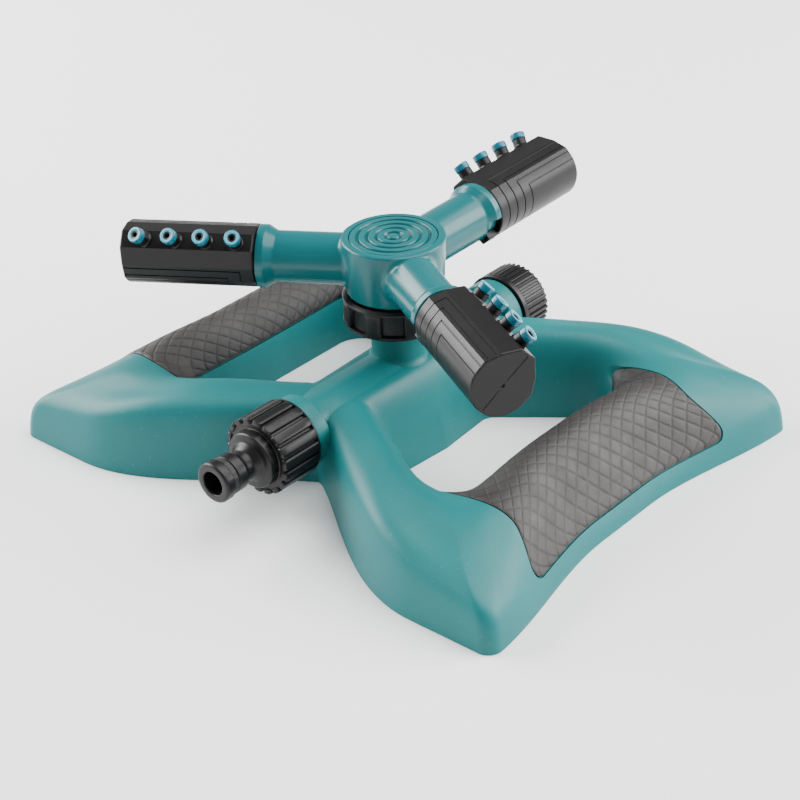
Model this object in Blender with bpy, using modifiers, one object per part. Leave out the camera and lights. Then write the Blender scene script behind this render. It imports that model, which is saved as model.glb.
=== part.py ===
"""Garden lawn sprinkler: hollow butterfly base with a water barrel and riser, two rubber grips, a hose
adapter, an outlet cap, and a spinning three-arm rotor whose nozzle tubes turn about their arms.

Frame: origin on the ground under the rotor's axis, +Z up. The water barrel lies along Y with the hose
inlet at -Y, and the two wings of the base lie at +X and -X. All sizes are in metres."""

import math

import bmesh
import bpy
from mathutils import Matrix, Vector

# --- Fits -------------------------------------------------------------------------------------------
CLEARANCE = 0.0003          # gap between pieces that touch
MERGE_DISTANCE = 0.000020   # points nearer than this become one
OVERLAP = 0.0005            # how far shapes of one piece run into each other before they are joined
ROUND_STEPS = 24            # sides of a large turned shape
SMALL_STEPS = 10            # sides of a small turned shape

# --- Base -------------------------------------------------------------------------------------------
BASE_HALF_WIDTH = 0.1215    # X, from the rotor's axis to the wings' corners
BASE_HALF_DEPTH = 0.0950    # Y, from the rotor's axis to the front and rear edges
WAIST_DEPTH = 0.0115        # how far the outer edges draw in at mid length
WAIST_FLAT = 0.0150         # half length of the straight stretch at the waist
NOTCH_Y = 0.0490            # where the two wings meet under the barrel
FRONT_RUN = 0.0850          # X over which the front edge swings out from the notch
CORNER_RADIUS = 0.0060      # wing corners, in plan
BASE_WALL = 0.0026          # wall of the hollow base
HOLE_INNER_X = 0.0215       # the hand hole's side next to the barrel
HOLE_OUTER_X = 0.0683       # the hand hole's side next to the grip
HOLE_INNER_Y = 0.0280       # half length of the hole next to the barrel
HOLE_KNEE = (0.0500, 0.0495)    # where the hole's slanted side ends
HOLE_OUTER_Y = 0.0505       # half length of the hole next to the grip
WING_TOP = 0.0345           # crest of the wings' front and rear arms
GRIP_TOP = 0.0320           # crest of the outer bars
CREASE_HEIGHT = 0.0300      # rounded edge between the front wall and the top
LIP_HEIGHT = 0.0040         # upright lip along the outer edges
FOOT_RADIUS = 0.0090        # central foot under the riser
RIB_OVERLAP = 0.0020        # how far each wing's inner wall passes the middle, to make one rib
RIB_LIFT = 0.0010           # the middle rib's lower edge above the ground
SECTION_COUNT = 11          # points over the outside of a wing's section
INSIDE_COUNT = 8            # points along the inside of it

# --- Barrel, riser and their spigots ----------------------------------------------------------------
PIPE_HEIGHT = 0.0277        # barrel axis above the ground
BARREL_RADIUS = 0.0100
BARREL_BORE = 0.0060
FLANGE_RADIUS = 0.0140      # ring at each end of the barrel
FLANGE_WIDTH = 0.0072
INLET_SEAT_Y = -0.0620      # outer face of the inlet flange
OUTLET_SEAT_Y = 0.0620      # outer face of the outlet flange
SPIGOT_RADIUS = 0.0118      # threaded spigots beyond the flanges
SPIGOT_LENGTH = 0.0110
RISER_RADIUS = 0.0105
RISER_BORE = 0.0050
RISER_SEAT_Z = 0.0510       # underside of the collar that carries the nut
RISER_COLLAR_RADIUS = 0.0155
RISER_COLLAR_HEIGHT = 0.0075
RISER_FOOT_RADIUS = 0.0145  # flare where the riser meets the barrel

# --- Hose adapter, cap and their washers ------------------------------------------------------------
COLLAR_RADIUS = 0.0155      # ribbed collar of the adapter
COLLAR_LENGTH = 0.0183
COLLAR_GROOVES = 14
COLLAR_GROOVE_DEPTH = 0.0007
COLLAR_GROOVE_WIDTH = 0.0011
SHOULDER_RADIUS = 0.0112
NECK_RADIUS = 0.0064
NIPPLE_RADIUS = 0.0080
NIPPLE_LAND = 0.0074
NIPPLE_BORE = 0.0047
NIPPLE_END_Y = -0.1040
CAP_RADIUS = 0.0150
CAP_LENGTH = 0.0165
CAP_FACE = 0.0025
CAP_GROOVES = 16
CAP_GROOVE_DEPTH = 0.0006
CAP_GROOVE_WIDTH = 0.0016
WASHER_THICKNESS = 0.0018

# --- Swivel -----------------------------------------------------------------------------------------
NUT_RADIUS = 0.0208
NUT_LOBES = 8
NUT_LIP = 0.0016
THRUST_THICKNESS = 0.0010
BUSH_FLANGE_RADIUS = 0.0130
BUSH_FLANGE_THICKNESS = 0.0016
BUSH_NECK_RADIUS = 0.0085
BUSH_LENGTH = 0.0120        # neck above the flange
SEAL_SECTION = 0.0011       # radius of the small seal rings

# --- Rotor ------------------------------------------------------------------------------------------
ARM_COUNT = 3
ROTOR_PHASE = math.radians(1.5)     # how far the rotor is turned at rest
FIRST_ARM = math.radians(90.0)
ROTOR_GAP = 0.0008          # between the nut and the hub
HUB_TOP_RADIUS = 0.0202
HUB_BOTTOM_RADIUS = 0.0190
HUB_CHAMBER_RADIUS = 0.0130
HUB_CAP_RADIUS = 0.0170
HUB_CAP_THICKNESS = 0.0016
HUB_CAP_RINGS = 4
HUB_CAP_RING_PITCH = 0.0038
HUB_CAP_RING_HEIGHT = 0.0006
ARM_RADIUS = 0.0102
ARM_COVER = 0.0005          # hub above the arms' tops
ARM_SEAT = 0.0013           # hub below the arms' undersides
ARM_BORE = 0.0077
ARM_FLARE_RADIUS = 0.0124
ARM_LENGTH = 0.0524         # from the rotor's axis to the flare's end

# --- Nozzle tubes -----------------------------------------------------------------------------------
TUBE_RADIUS = 0.0121
TUBE_WALL = 0.0022
TUBE_END = 0.1050           # closed end, from the rotor's axis
TUBE_FACETS = 12            # flats round the side that carries the nozzles
TUBE_PAD_HEIGHT = 0.0142    # nozzle pad above the tube's axis
TUBE_PAD_WIDTH = 0.0070
TUBE_SPIGOT_LENGTH = 0.0130
NOZZLES_PER_TUBE = 4
NOZZLE_FIRST = 0.0597       # from the rotor's axis
NOZZLE_PITCH = 0.0102
NOZZLE_FAN = math.radians(7.0)      # each nozzle leans this much more than the last
NOZZLE_ELEVATION = math.radians(45.5)
STEM_RADIUS = 0.0026
STEM_LENGTH = 0.0024
TIP_RADIUS = 0.0032
TIP_LENGTH = 0.0036
TIP_BORE = 0.0010
NOSE_RADIUS = 0.0018        # the stem's narrow end, inside the tip
NOSE_LENGTH = 0.0020
SPIGOT_BORE = 0.0052
TUBE_BACK_STEPS = 10
TUBE_SWING = math.radians(35.0)     # how far a nozzle tube turns each way
LUG_WIDTH = 0.0050          # stop lug on the side away from the nozzles
LUG_LENGTH = 0.0060
LUG_THICKNESS = 0.0026

# --- Grips ------------------------------------------------------------------------------------------
GRIP_RECESS = 0.0011        # depth of the grip's seat in the base
GRIP_PROUD = 0.0005         # how far the rubber stands above the base
GRIP_END_MIDDLE = 0.0540    # half length along the middle of the grip
GRIP_END_INNER = 0.0560     # half length along its inner edge
GRIP_END_OUTER = 0.0600     # half length along its outer edge

GRIP_FIRST_POINT = 2.1      # outer edge of the grip, in points across the wing's section
GRIP_LAST_POINT = 15.4      # inner edge of the grip
GRIP_SECTION_COUNT = 19     # points across the wing's section under the grip
GRIP_ACROSS = 7
GRIP_ALONG = 12

# --- Materials: colour, roughness -------------------------------------------------------------------
TEAL = ((0.035, 0.300, 0.285), 0.42)
TEAL_GLOSS = ((0.030, 0.330, 0.320), 0.28)
TIP_BLUE = ((0.020, 0.230, 0.300), 0.25)
CHARCOAL = ((0.022, 0.022, 0.024), 0.45)
GRIP_GREY = ((0.070, 0.062, 0.060), 0.62)
RUBBER = ((0.010, 0.010, 0.010), 0.70)
WHITE_PLASTIC = ((0.620, 0.620, 0.600), 0.40)

# Places that follow from the sizes above.
RISER_TOP_Z = RISER_SEAT_Z + RISER_COLLAR_HEIGHT
THRUST_Z = RISER_TOP_Z + CLEARANCE
BUSH_Z = THRUST_Z + THRUST_THICKNESS + CLEARANCE
NUT_TOP_Z = BUSH_Z + BUSH_FLANGE_THICKNESS + CLEARANCE + NUT_LIP
HUB_BOTTOM_Z = NUT_TOP_Z + ROTOR_GAP
ARM_Z = HUB_BOTTOM_Z + ARM_SEAT + ARM_RADIUS
HUB_TOP_Z = ARM_Z + ARM_RADIUS + ARM_COVER


def clear_scene():
    for obj in list(bpy.data.objects):
        bpy.data.objects.remove(obj, do_unlink=True)


def new_collection(name):
    collection = bpy.data.collections.new(name)
    bpy.context.scene.collection.children.link(collection)
    return collection


def new_material(name, finish):
    colour, roughness = finish
    material = bpy.data.materials.new(name)
    material.use_nodes = True
    shader = material.node_tree.nodes["Principled BSDF"]
    shader.inputs["Base Color"].default_value = (*colour, 1.0)
    shader.inputs["Roughness"].default_value = roughness
    shader.inputs["Metallic"].default_value = 0.0
    material.diffuse_color = (*colour, 1.0)
    return material


def new_object(name, bm, material=None, collection=None):
    """A mesh object from a bmesh, with its normals made to point out."""
    bmesh.ops.recalc_face_normals(bm, faces=bm.faces)
    mesh = bpy.data.meshes.new(name)
    bm.to_mesh(mesh)
    bm.free()
    obj = bpy.data.objects.new(name, mesh)
    if material:
        mesh.materials.append(material)
    (collection or CUTTERS).objects.link(obj)
    return obj


def flatten(obj):
    """Applies the object's modifiers and its place to its mesh."""
    bpy.context.view_layer.update()
    graph = bpy.context.evaluated_depsgraph_get()
    mesh = bpy.data.meshes.new_from_object(obj.evaluated_get(graph))
    mesh.transform(obj.matrix_world)
    obj.modifiers.clear()
    obj.data = mesh
    obj.matrix_world = Matrix.Identity(4)
    return obj


def turned(name, profile, steps=ROUND_STEPS, place=None, material=None, collection=None):
    """A solid turned about Z from (radius, height) points that run down its outer side, top to bottom,
    and back up any bore."""
    bm = bmesh.new()
    points = [bm.verts.new((radius, 0.0, height)) for radius, height in profile]
    closed = profile[0][0] > 0.0
    pairs = list(zip(points, points[1:] + points[:1])) if closed else list(zip(points, points[1:]))
    for first, second in pairs:
        bm.edges.new((first, second))
    mesh = bpy.data.meshes.new(name)
    bm.to_mesh(mesh)
    bm.free()
    obj = bpy.data.objects.new(name, mesh)
    (collection or CUTTERS).objects.link(obj)
    screw = obj.modifiers.new("turn", "SCREW")
    screw.axis = "Z"
    screw.steps = steps
    screw.render_steps = steps
    screw.use_merge_vertices = True
    screw.merge_threshold = 0.00001
    screw.use_normal_calculate = True
    flatten(obj)
    if material:
        obj.data.materials.append(material)
    clean = bmesh.new()
    clean.from_mesh(obj.data)
    bmesh.ops.remove_doubles(clean, verts=clean.verts, dist=0.000001)
    bmesh.ops.recalc_face_normals(clean, faces=clean.faces)
    if place is not None:
        bmesh.ops.transform(clean, matrix=place, verts=clean.verts)
    clean.to_mesh(obj.data)
    clean.free()
    return obj


def cylinder(name, radius, low, high, steps=ROUND_STEPS, place=None):
    return turned(name, [(0.0, high), (radius, high), (radius, low), (0.0, low)], steps, place)


def ring(name, inner, outer, low, high, steps=ROUND_STEPS, **options):
    profile = [(inner, high), (outer, high), (outer, low), (inner, low)]
    return turned(name, profile, steps, **options)


def boolean(obj, operation, *others, solver="EXACT"):
    """Joins or cuts, and applies the result."""
    for other in others:
        modifier = obj.modifiers.new(operation.lower(), "BOOLEAN")
        modifier.operation = operation
        modifier.solver = solver
        modifier.object = other
        flatten(obj)
        bpy.data.objects.remove(other, do_unlink=True)
    return obj


def tidy_mesh(obj):
    """Merges points closer than the merge distance and drops the slivers that leaves."""
    bm = bmesh.new()
    bm.from_mesh(obj.data)
    bmesh.ops.triangulate(bm, faces=bm.faces)
    bmesh.ops.remove_doubles(bm, verts=bm.verts, dist=MERGE_DISTANCE)
    bmesh.ops.dissolve_degenerate(bm, dist=MERGE_DISTANCE, edges=bm.edges)
    bmesh.ops.triangulate(bm, faces=bm.faces)
    bm.to_mesh(obj.data)
    bm.free()
    return obj


def smooth(obj, angle=32.0):
    obj.data.shade_smooth()
    obj.data.set_sharp_from_angle(angle=math.radians(angle))
    return obj


def finish(obj, name, material, parent=None):
    """Names a solid, gives it its material and collection, and puts its origin on its parent's."""
    obj.name = name
    obj.data.name = name
    obj.data.materials.clear()
    obj.data.materials.append(material)
    for collection in list(obj.users_collection):
        collection.objects.unlink(obj)
    PARTS.objects.link(obj)
    smooth(obj)
    if parent:
        obj.data.transform(parent.matrix_world.inverted())
        obj.parent = parent
    return obj


def empty(name, place, parent=None):
    obj = bpy.data.objects.new(name, None)
    obj.empty_display_size = 0.01
    PARTS.objects.link(obj)
    obj.parent = parent
    bpy.context.view_layer.update()
    obj.matrix_world = place
    bpy.context.view_layer.update()
    return obj


# --- Places -----------------------------------------------------------------------------------------
def along_barrel(y, direction):
    """Turns a solid made along Z so that its Z runs along the barrel from y."""
    turn = Matrix.Rotation(math.radians(90.0 if direction < 0 else -90.0), 4, "X")
    return Matrix.Translation((0.0, y, PIPE_HEIGHT)) @ turn


def arm_angle(index):
    return FIRST_ARM + ROTOR_PHASE + index * math.tau / ARM_COUNT


def arm_place(index):
    """X runs out along the arm, Z is up, and the origin is on the rotor's axis."""
    return Matrix.Translation((0.0, 0.0, ARM_Z)) @ Matrix.Rotation(arm_angle(index), 4, "Z")


def tube_place(index):
    """As arm_place, rolled so that local Z is the way the nozzles point."""
    return arm_place(index) @ Matrix.Rotation(-(math.pi / 2.0 - NOZZLE_ELEVATION), 4, "X")


TURN_TO_X = Matrix.Rotation(math.radians(90.0), 4, "Y")
HALF_STEP = Matrix.Rotation(math.pi / ROUND_STEPS, 4, "Z")


# --- Base -------------------------------------------------------------------------------------------
def ease(t):
    t = min(1.0, max(0.0, t))
    return t * t * (3.0 - 2.0 * t)


def outer_edge_x(y):
    run = (abs(y) - WAIST_FLAT) / (BASE_HALF_DEPTH - WAIST_FLAT)
    return BASE_HALF_WIDTH - WAIST_DEPTH * (1.0 - ease(run))


def front_edge_y(x):
    run = min(1.0, max(0.0, x) / FRONT_RUN) ** 1.15
    return -(NOTCH_Y + (BASE_HALF_DEPTH - NOTCH_Y) * math.sin(run * math.pi / 2.0))


def fillet(before, corner, after, radius, steps):
    """Points of the round that replaces a corner."""
    corner = Vector(corner)
    to_before = (Vector(before) - corner).normalized()
    to_after = (Vector(after) - corner).normalized()
    half = to_before.angle(to_after) / 2.0
    reach = radius / math.tan(half)
    start = corner + to_before * reach
    end = corner + to_after * reach
    centre = corner + (to_before + to_after).normalized() * radius / math.sin(half)
    first = start - centre
    sweep = first.angle_signed(end - centre)
    turns = [Matrix.Rotation(-sweep * step / steps, 2) for step in range(steps + 1)]
    return [centre + turn @ first for turn in turns]


def resample(points, count, ends=True):
    """Points evenly spaced along a polyline."""
    points = [Vector(point) for point in points]
    lengths = [0.0]
    for first, second in zip(points, points[1:]):
        lengths.append(lengths[-1] + (second - first).length)
    result = []
    segment = 0
    for index in range(count + 1):
        target = lengths[-1] * index / count
        while segment < len(points) - 2 and lengths[segment + 1] < target:
            segment += 1
        span = lengths[segment + 1] - lengths[segment]
        share = (target - lengths[segment]) / span if span > 0.0 else 0.0
        result.append(points[segment].lerp(points[segment + 1], share))
    return result if ends else result[:-1]


def wing_loops():
    """Matched points round the outer edge and round the hand hole of the +X wing, with how far each
    station has come along bar, corner, arm and hub, from the middle of the outer bar to the front."""
    corner_y = -BASE_HALF_DEPTH + CORNER_RADIUS
    outer_bar = [(outer_edge_x(corner_y * step / 24), corner_y * step / 24) for step in range(25)]
    corner_x = BASE_HALF_WIDTH - CORNER_RADIUS
    corner = fillet(outer_bar[-1], (BASE_HALF_WIDTH, -BASE_HALF_DEPTH), (corner_x, -BASE_HALF_DEPTH),
                    CORNER_RADIUS * 0.98, 6)
    front = [(corner_x * (1 - step / 32), front_edge_y(corner_x * (1 - step / 32)))
             for step in range(33)]
    hub = [(-RIB_OVERLAP, -NOTCH_Y), (-RIB_OVERLAP, 0.0)]
    outer_corner = fillet((HOLE_OUTER_X, 0.0), (HOLE_OUTER_X, -HOLE_OUTER_Y),
                          (HOLE_KNEE[0], -HOLE_KNEE[1]), 0.0120, 8)
    inner_corner = fillet((HOLE_KNEE[0], -HOLE_KNEE[1]), (HOLE_INNER_X, -HOLE_INNER_Y),
                          (HOLE_INNER_X, 0.0), 0.0060, 6)
    knee = fillet(outer_corner[-1], (HOLE_KNEE[0], -HOLE_KNEE[1]), inner_corner[0], 0.0140, 4)
    half = len(inner_corner) // 2
    hole_bar = [(HOLE_OUTER_X, 0.0), outer_corner[0]]
    hole_arm = [*knee, *inner_corner[:half + 1]]
    hole_hub = [*inner_corner[half:], Vector((HOLE_INNER_X + 0.0020, 0.0))]
    counts = (("bar", 8), ("corner", 4), ("arm", 9), ("hub", 4))
    outers = (outer_bar, corner, front, hub)
    holes = (hole_bar, outer_corner, hole_arm, hole_hub)
    stations = []
    for (name, count), outer, hole in zip(counts, outers, holes):
        last = name == "hub"
        pairs = zip(resample(outer, count, last), resample(hole, count, last))
        for index, (edge, inside) in enumerate(pairs):
            stations.append((name, index / count, edge, inside))
    return stations


TIP_BLEND = 0.25    # how far a wing's corner has taken on the arm's section where the two meet


# Control points of a wing's section: share of the way from the edge to the hole, height.
# Each is given for the bar, the corner, the arm and the hub, and eased between them.
def section_controls(name, share):
    bar = [(0.00, 0.0), (0.00, LIP_HEIGHT), (0.18, 0.0150), (0.45, GRIP_TOP - 0.0010),
           (0.66, GRIP_TOP + 0.0020), (0.93, GRIP_TOP - 0.0060), (0.99, 0.0130), (1.00, 0.0)]
    tip = [(0.00, 0.0), (0.01, 0.0090), (0.06, 0.0150), (0.33, WING_TOP - 0.0125),
           (0.62, WING_TOP - 0.0030), (0.93, GRIP_TOP - 0.0060), (0.99, 0.0130), (1.00, 0.0)]
    arm = [(0.00, 0.0), (0.04, 0.0180), (0.07, CREASE_HEIGHT + 0.0015), (0.40, WING_TOP - 0.0010),
           (0.66, WING_TOP + 0.0015), (0.90, WING_TOP - 0.0040), (0.98, 0.0150), (1.00, 0.0)]
    hub = [(0.00, 0.0), (0.00, 0.0260), (0.03, WING_TOP - 0.0010), (0.30, WING_TOP + 0.0005),
           (0.55, WING_TOP + 0.0010), (0.74, WING_TOP - 0.0030), (0.90, 0.0160), (1.00, 0.0)]
    first, second = {
        "bar": (bar, tip), "corner": (tip, arm), "arm": (arm, hub), "hub": (hub, hub)}[name]
    blend = {"bar": ease((share - 0.55) / 0.45), "corner": TIP_BLEND * ease(share),
             "arm": ease((share - 0.5) / 0.5), "hub": 1.0}[name]
    if name == "arm":
        start = [tuple(t + TIP_BLEND * (a - t) for t, a in zip(one, two)) for one, two in zip(tip, arm)]
        lead = ease(share / 0.5)
        first = [tuple(s + lead * (a - s) for s, a in zip(one, two)) for one, two in zip(start, arm)]
    return [tuple(a + blend * (b - a) for a, b in zip(one, two)) for one, two in zip(first, second)]


def spline_point(controls, t):
    """A point of the clamped uniform cubic B-spline."""
    spans = len(controls) - 3
    knots = [0.0] * 4 + [float(k) for k in range(1, spans)] + [float(spans)] * 4
    u = min(t * spans, spans - 1e-9)
    span = int(u) + 3
    work = [Vector(controls[span - 3 + j]) for j in range(4)]
    for level in range(1, 4):
        for j in range(3, level - 1, -1):
            low = knots[j + span - 3]
            high = knots[j + 1 + span - level]
            share = (u - low) / (high - low)
            work[j] = work[j - 1].lerp(work[j], share)
    return work[3]


def section_points(name, share, edge, inside, count, offset=0.0):
    """3-D points over a wing's section, from its outer edge to the hole, moved inwards by an offset."""
    across = inside - edge
    width = across.length
    flat = [Vector((s * width, z)) for s, z in section_controls(name, share)]
    curve = [spline_point(flat, index / (count - 1)) for index in range(count)]
    moved = []
    for index, point in enumerate(curve):
        before = curve[max(index - 1, 0)]
        after = curve[min(index + 1, count - 1)]
        tangent = (after - before).normalized()
        moved.append(point + Vector((tangent.y, -tangent.x)) * offset)
    direction = across.normalized()
    return [Vector((edge.x + direction.x * p.x, edge.y + direction.y * p.x, p.y)) for p in moved]


def loft(name, rows):
    """A closed solid over rings of points: each row goes over the top, and the rows go round."""
    bm = bmesh.new()
    grid = [[bm.verts.new(point) for point in row] for row in rows]
    for row, following in zip(grid, grid[1:] + grid[:1]):
        for a, b, c, d in zip(row, row[1:], following[1:], following):
            bm.faces.new((a, b, c, d))
        bm.faces.new((row[-1], row[0], following[0], following[-1]))
    return new_object(name, bm)


def wing_rows(count, offset=0.0):
    """Rows of points over the +X wing, all the way round it, each from the outer edge to the hole."""
    front = []
    for name, share, edge, inside in wing_loops():
        row = section_points(name, share, edge, inside, count, offset)
        row[0].z = RIB_LIFT if name == "hub" else 0.0
        row[-1].z = 0.0
        front.append(row)
    rear = [[Vector((p.x, -p.y, p.z)) for p in row] for row in front[-2:0:-1]]
    return front + rear


def mirrored(obj, name):
    bm = bmesh.new()
    bm.from_mesh(obj.data)
    bmesh.ops.transform(bm, matrix=Matrix.Scale(-1.0, 4, (1.0, 0.0, 0.0)), verts=bm.verts)
    return new_object(name, bm)


def base_shell():
    outside = wing_rows(SECTION_COUNT)
    inside = wing_rows(INSIDE_COUNT, BASE_WALL)
    shell = loft("wing_right", [over + under[::-1] for over, under in zip(outside, inside)])
    boolean(shell, "UNION", mirrored(shell, "wing_left"), solver="MANIFOLD")
    inlet_end = abs(INLET_SEAT_Y) + SPIGOT_LENGTH
    outlet_end = OUTLET_SEAT_Y + SPIGOT_LENGTH
    barrel = turned("barrel", [
        (0.0, inlet_end), (SPIGOT_RADIUS - 0.0008, inlet_end), (SPIGOT_RADIUS, inlet_end - 0.0008),
        (SPIGOT_RADIUS, abs(INLET_SEAT_Y)), (FLANGE_RADIUS, abs(INLET_SEAT_Y)),
        (FLANGE_RADIUS, abs(INLET_SEAT_Y) - FLANGE_WIDTH),
        (BARREL_RADIUS, abs(INLET_SEAT_Y) - FLANGE_WIDTH),
        (BARREL_RADIUS, FLANGE_WIDTH - OUTLET_SEAT_Y),
        (FLANGE_RADIUS, FLANGE_WIDTH - OUTLET_SEAT_Y), (FLANGE_RADIUS, -OUTLET_SEAT_Y),
        (SPIGOT_RADIUS, -OUTLET_SEAT_Y), (SPIGOT_RADIUS, 0.0008 - outlet_end),
        (SPIGOT_RADIUS - 0.0008, -outlet_end), (0.0, -outlet_end)], place=along_barrel(0.0, -1))
    riser = turned("riser", [
        (0.0, RISER_TOP_Z), (RISER_COLLAR_RADIUS, RISER_TOP_Z), (RISER_COLLAR_RADIUS, RISER_SEAT_Z),
        (RISER_RADIUS, RISER_SEAT_Z), (RISER_RADIUS, PIPE_HEIGHT + BARREL_RADIUS + 0.0020),
        (RISER_RADIUS + 0.0010, PIPE_HEIGHT + BARREL_RADIUS - 0.0005),
        (RISER_FOOT_RADIUS, PIPE_HEIGHT + BARREL_RADIUS - 0.0040),
        (RISER_FOOT_RADIUS, PIPE_HEIGHT), (FOOT_RADIUS, PIPE_HEIGHT - 0.0040), (FOOT_RADIUS, 0.0),
        (0.0, 0.0)], place=HALF_STEP)
    boolean(shell, "UNION", barrel, riser, solver="MANIFOLD")
    water = cylinder("water", BARREL_BORE, -outlet_end - OVERLAP, inlet_end + OVERLAP,
                     place=along_barrel(0.0, -1))
    lift = cylinder("lift", RISER_BORE, PIPE_HEIGHT, RISER_TOP_Z + OVERLAP, place=HALF_STEP)
    return boolean(shell, "DIFFERENCE", water, lift, solver="MANIFOLD")


# --- Grips ------------------------------------------------------------------------------------------
def grip_half_length(across):
    """Half length of the grip at a place across it, from its outer edge to its inner edge."""
    if across < 0.4:
        outer_share = ease(across / 0.4)
        return GRIP_END_OUTER + (GRIP_END_MIDDLE - GRIP_END_OUTER) * outer_share
    inner_share = ease((across - 0.4) / 0.4)
    return GRIP_END_MIDDLE + (GRIP_END_INNER - GRIP_END_MIDDLE) * inner_share


def grip_layer(offset):
    """A grid of points over the outer bar, at an offset from its surface."""
    fine = wing_rows(GRIP_SECTION_COUNT, offset)
    half = fine[:len(fine) // 2]
    mirror = [[Vector((p.x, -p.y, p.z)) for p in row] for row in half[:0:-1]]
    rows = mirror + half
    layer = []
    for index in range(GRIP_ACROSS + 1):
        across = index / GRIP_ACROSS
        place = GRIP_FIRST_POINT + (GRIP_LAST_POINT - GRIP_FIRST_POINT) * across
        low = int(place)
        column = [row[low].lerp(row[low + 1], place - low) for row in rows]
        reach = grip_half_length(across)
        layer.append([point_at_y(column, reach * (2.0 * step / GRIP_ALONG - 1.0))
                      for step in range(GRIP_ALONG + 1)])
    return layer


def widened(grid, gap):
    """The grid with one more line of points all round, a gap further out."""
    def beyond(last, before):
        return last + (last - before).normalized() * gap

    rows = [[beyond(row[0], row[1]), *row, beyond(row[-1], row[-2])] for row in grid]
    first = [beyond(a, b) for a, b in zip(rows[0], rows[1])]
    last = [beyond(a, b) for a, b in zip(rows[-1], rows[-2])]
    return [first, *rows, last]


def point_at_y(column, y):
    """The point at a given Y on a line of points that starts at its highest Y."""
    for first, second in zip(column, column[1:]):
        if first.y >= y >= second.y:
            return first.lerp(second, (first.y - y) / (first.y - second.y))
    return min(column, key=lambda point: abs(point.y - y))


def slab(name, top, bottom):
    """A closed solid between two matching grids of points."""
    bm = bmesh.new()
    upper = [[bm.verts.new(point) for point in row] for row in top]
    lower = [[bm.verts.new(point) for point in row] for row in bottom]
    for grid in (upper, lower):
        for row, following in zip(grid, grid[1:]):
            for a, b, c, d in zip(row, row[1:], following[1:], following):
                bm.faces.new((a, b, c))
                bm.faces.new((a, c, d))
    upper_rim = upper[0] + [row[-1] for row in upper[1:]] + upper[-1][-2::-1]
    upper_rim += [row[0] for row in upper[-2:0:-1]]
    lower_rim = lower[0] + [row[-1] for row in lower[1:]] + lower[-1][-2::-1]
    lower_rim += [row[0] for row in lower[-2:0:-1]]
    count = len(upper_rim)
    for index in range(count):
        following = (index + 1) % count
        bm.faces.new((upper_rim[index], upper_rim[following], lower_rim[following], lower_rim[index]))
    return new_object(name, bm)


def grip_solid():
    return slab("grip", grip_layer(-GRIP_PROUD), grip_layer(GRIP_RECESS))


def grip_seat_cutter():
    """The grip's own shape, one clearance larger below and all round, and open above."""
    top = grip_layer(-GRIP_PROUD)
    bottom = grip_layer(GRIP_RECESS)
    ways = [[(a - b).normalized() for a, b in zip(*rows)] for rows in zip(top, bottom)]
    top = [[p + way * GRIP_PROUD * 3.0 for p, way in zip(*rows)] for rows in zip(top, ways)]
    bottom = [[p - way * CLEARANCE for p, way in zip(*rows)] for rows in zip(bottom, ways)]
    side_gap = 1.5 * CLEARANCE
    return slab("grip_seat", widened(top, side_gap), widened(bottom, side_gap))


# --- Hose adapter and outlet cap --------------------------------------------------------------------
def grooved(obj, radius, depth, width, count, low, high):
    """Cuts straight grooves into the side of a solid that is turned about Z."""
    bm = bmesh.new()
    for index in range(count):
        turn = Matrix.Rotation(index * math.tau / count, 4, "Z")
        size = Matrix.Diagonal((depth * 2.0, width, high - low, 1.0))
        place = Matrix.Translation((radius, 0.0, (low + high) / 2.0))
        bmesh.ops.create_cube(bm, size=1.0, matrix=turn @ place @ size)
    return boolean(obj, "DIFFERENCE", new_object("grooves", bm))


def inlet_adapter():
    """Made along Z from the collar's rear face, and then laid along the barrel."""
    length = abs(NIPPLE_END_Y) - abs(INLET_SEAT_Y) - CLEARANCE
    socket = SPIGOT_LENGTH + WASHER_THICKNESS + 2.0 * CLEARANCE
    body = turned("adapter", [
        (NIPPLE_BORE, length), (NIPPLE_RADIUS - 0.0008, length), (NIPPLE_RADIUS, length - 0.0008),
        (NIPPLE_RADIUS, length - 0.0040), (NECK_RADIUS, length - 0.0043),
        (NECK_RADIUS, length - 0.0068), (NIPPLE_LAND, length - 0.0071),
        (NIPPLE_LAND, length - 0.0112), (NECK_RADIUS - 0.0004, length - 0.0128),
        (NECK_RADIUS - 0.0004, length - 0.0160), (SHOULDER_RADIUS - 0.0026, length - 0.0185),
        (SHOULDER_RADIUS, COLLAR_LENGTH + 0.0034), (SHOULDER_RADIUS, COLLAR_LENGTH),
        (COLLAR_RADIUS - 0.0006, COLLAR_LENGTH), (COLLAR_RADIUS, COLLAR_LENGTH - 0.0006),
        (COLLAR_RADIUS - 0.0006, 0.0), (SPIGOT_RADIUS + CLEARANCE, 0.0),
        (SPIGOT_RADIUS + CLEARANCE, socket), (NIPPLE_BORE, socket)], place=None)
    grooved(body, COLLAR_RADIUS, COLLAR_GROOVE_DEPTH, COLLAR_GROOVE_WIDTH, COLLAR_GROOVES,
            -OVERLAP, COLLAR_LENGTH + OVERLAP)
    body.data.transform(along_barrel(INLET_SEAT_Y - CLEARANCE, -1))
    return body


def nipple_seal():
    """The rubber ring in the nipple's groove."""
    groove_middle = 0.00555
    outer = NIPPLE_LAND + 0.0001
    inner = NECK_RADIUS + CLEARANCE
    half = 0.0010
    return ring("nipple_seal", inner, outer, -half, half, 20,
                place=along_barrel(NIPPLE_END_Y + groove_middle, -1))


def inlet_washer():
    start = SPIGOT_LENGTH + CLEARANCE
    return ring("inlet_washer", NIPPLE_BORE + 0.0010, SPIGOT_RADIUS - 0.0004, start,
                start + WASHER_THICKNESS - CLEARANCE, 20, place=along_barrel(INLET_SEAT_Y, -1))


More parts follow.
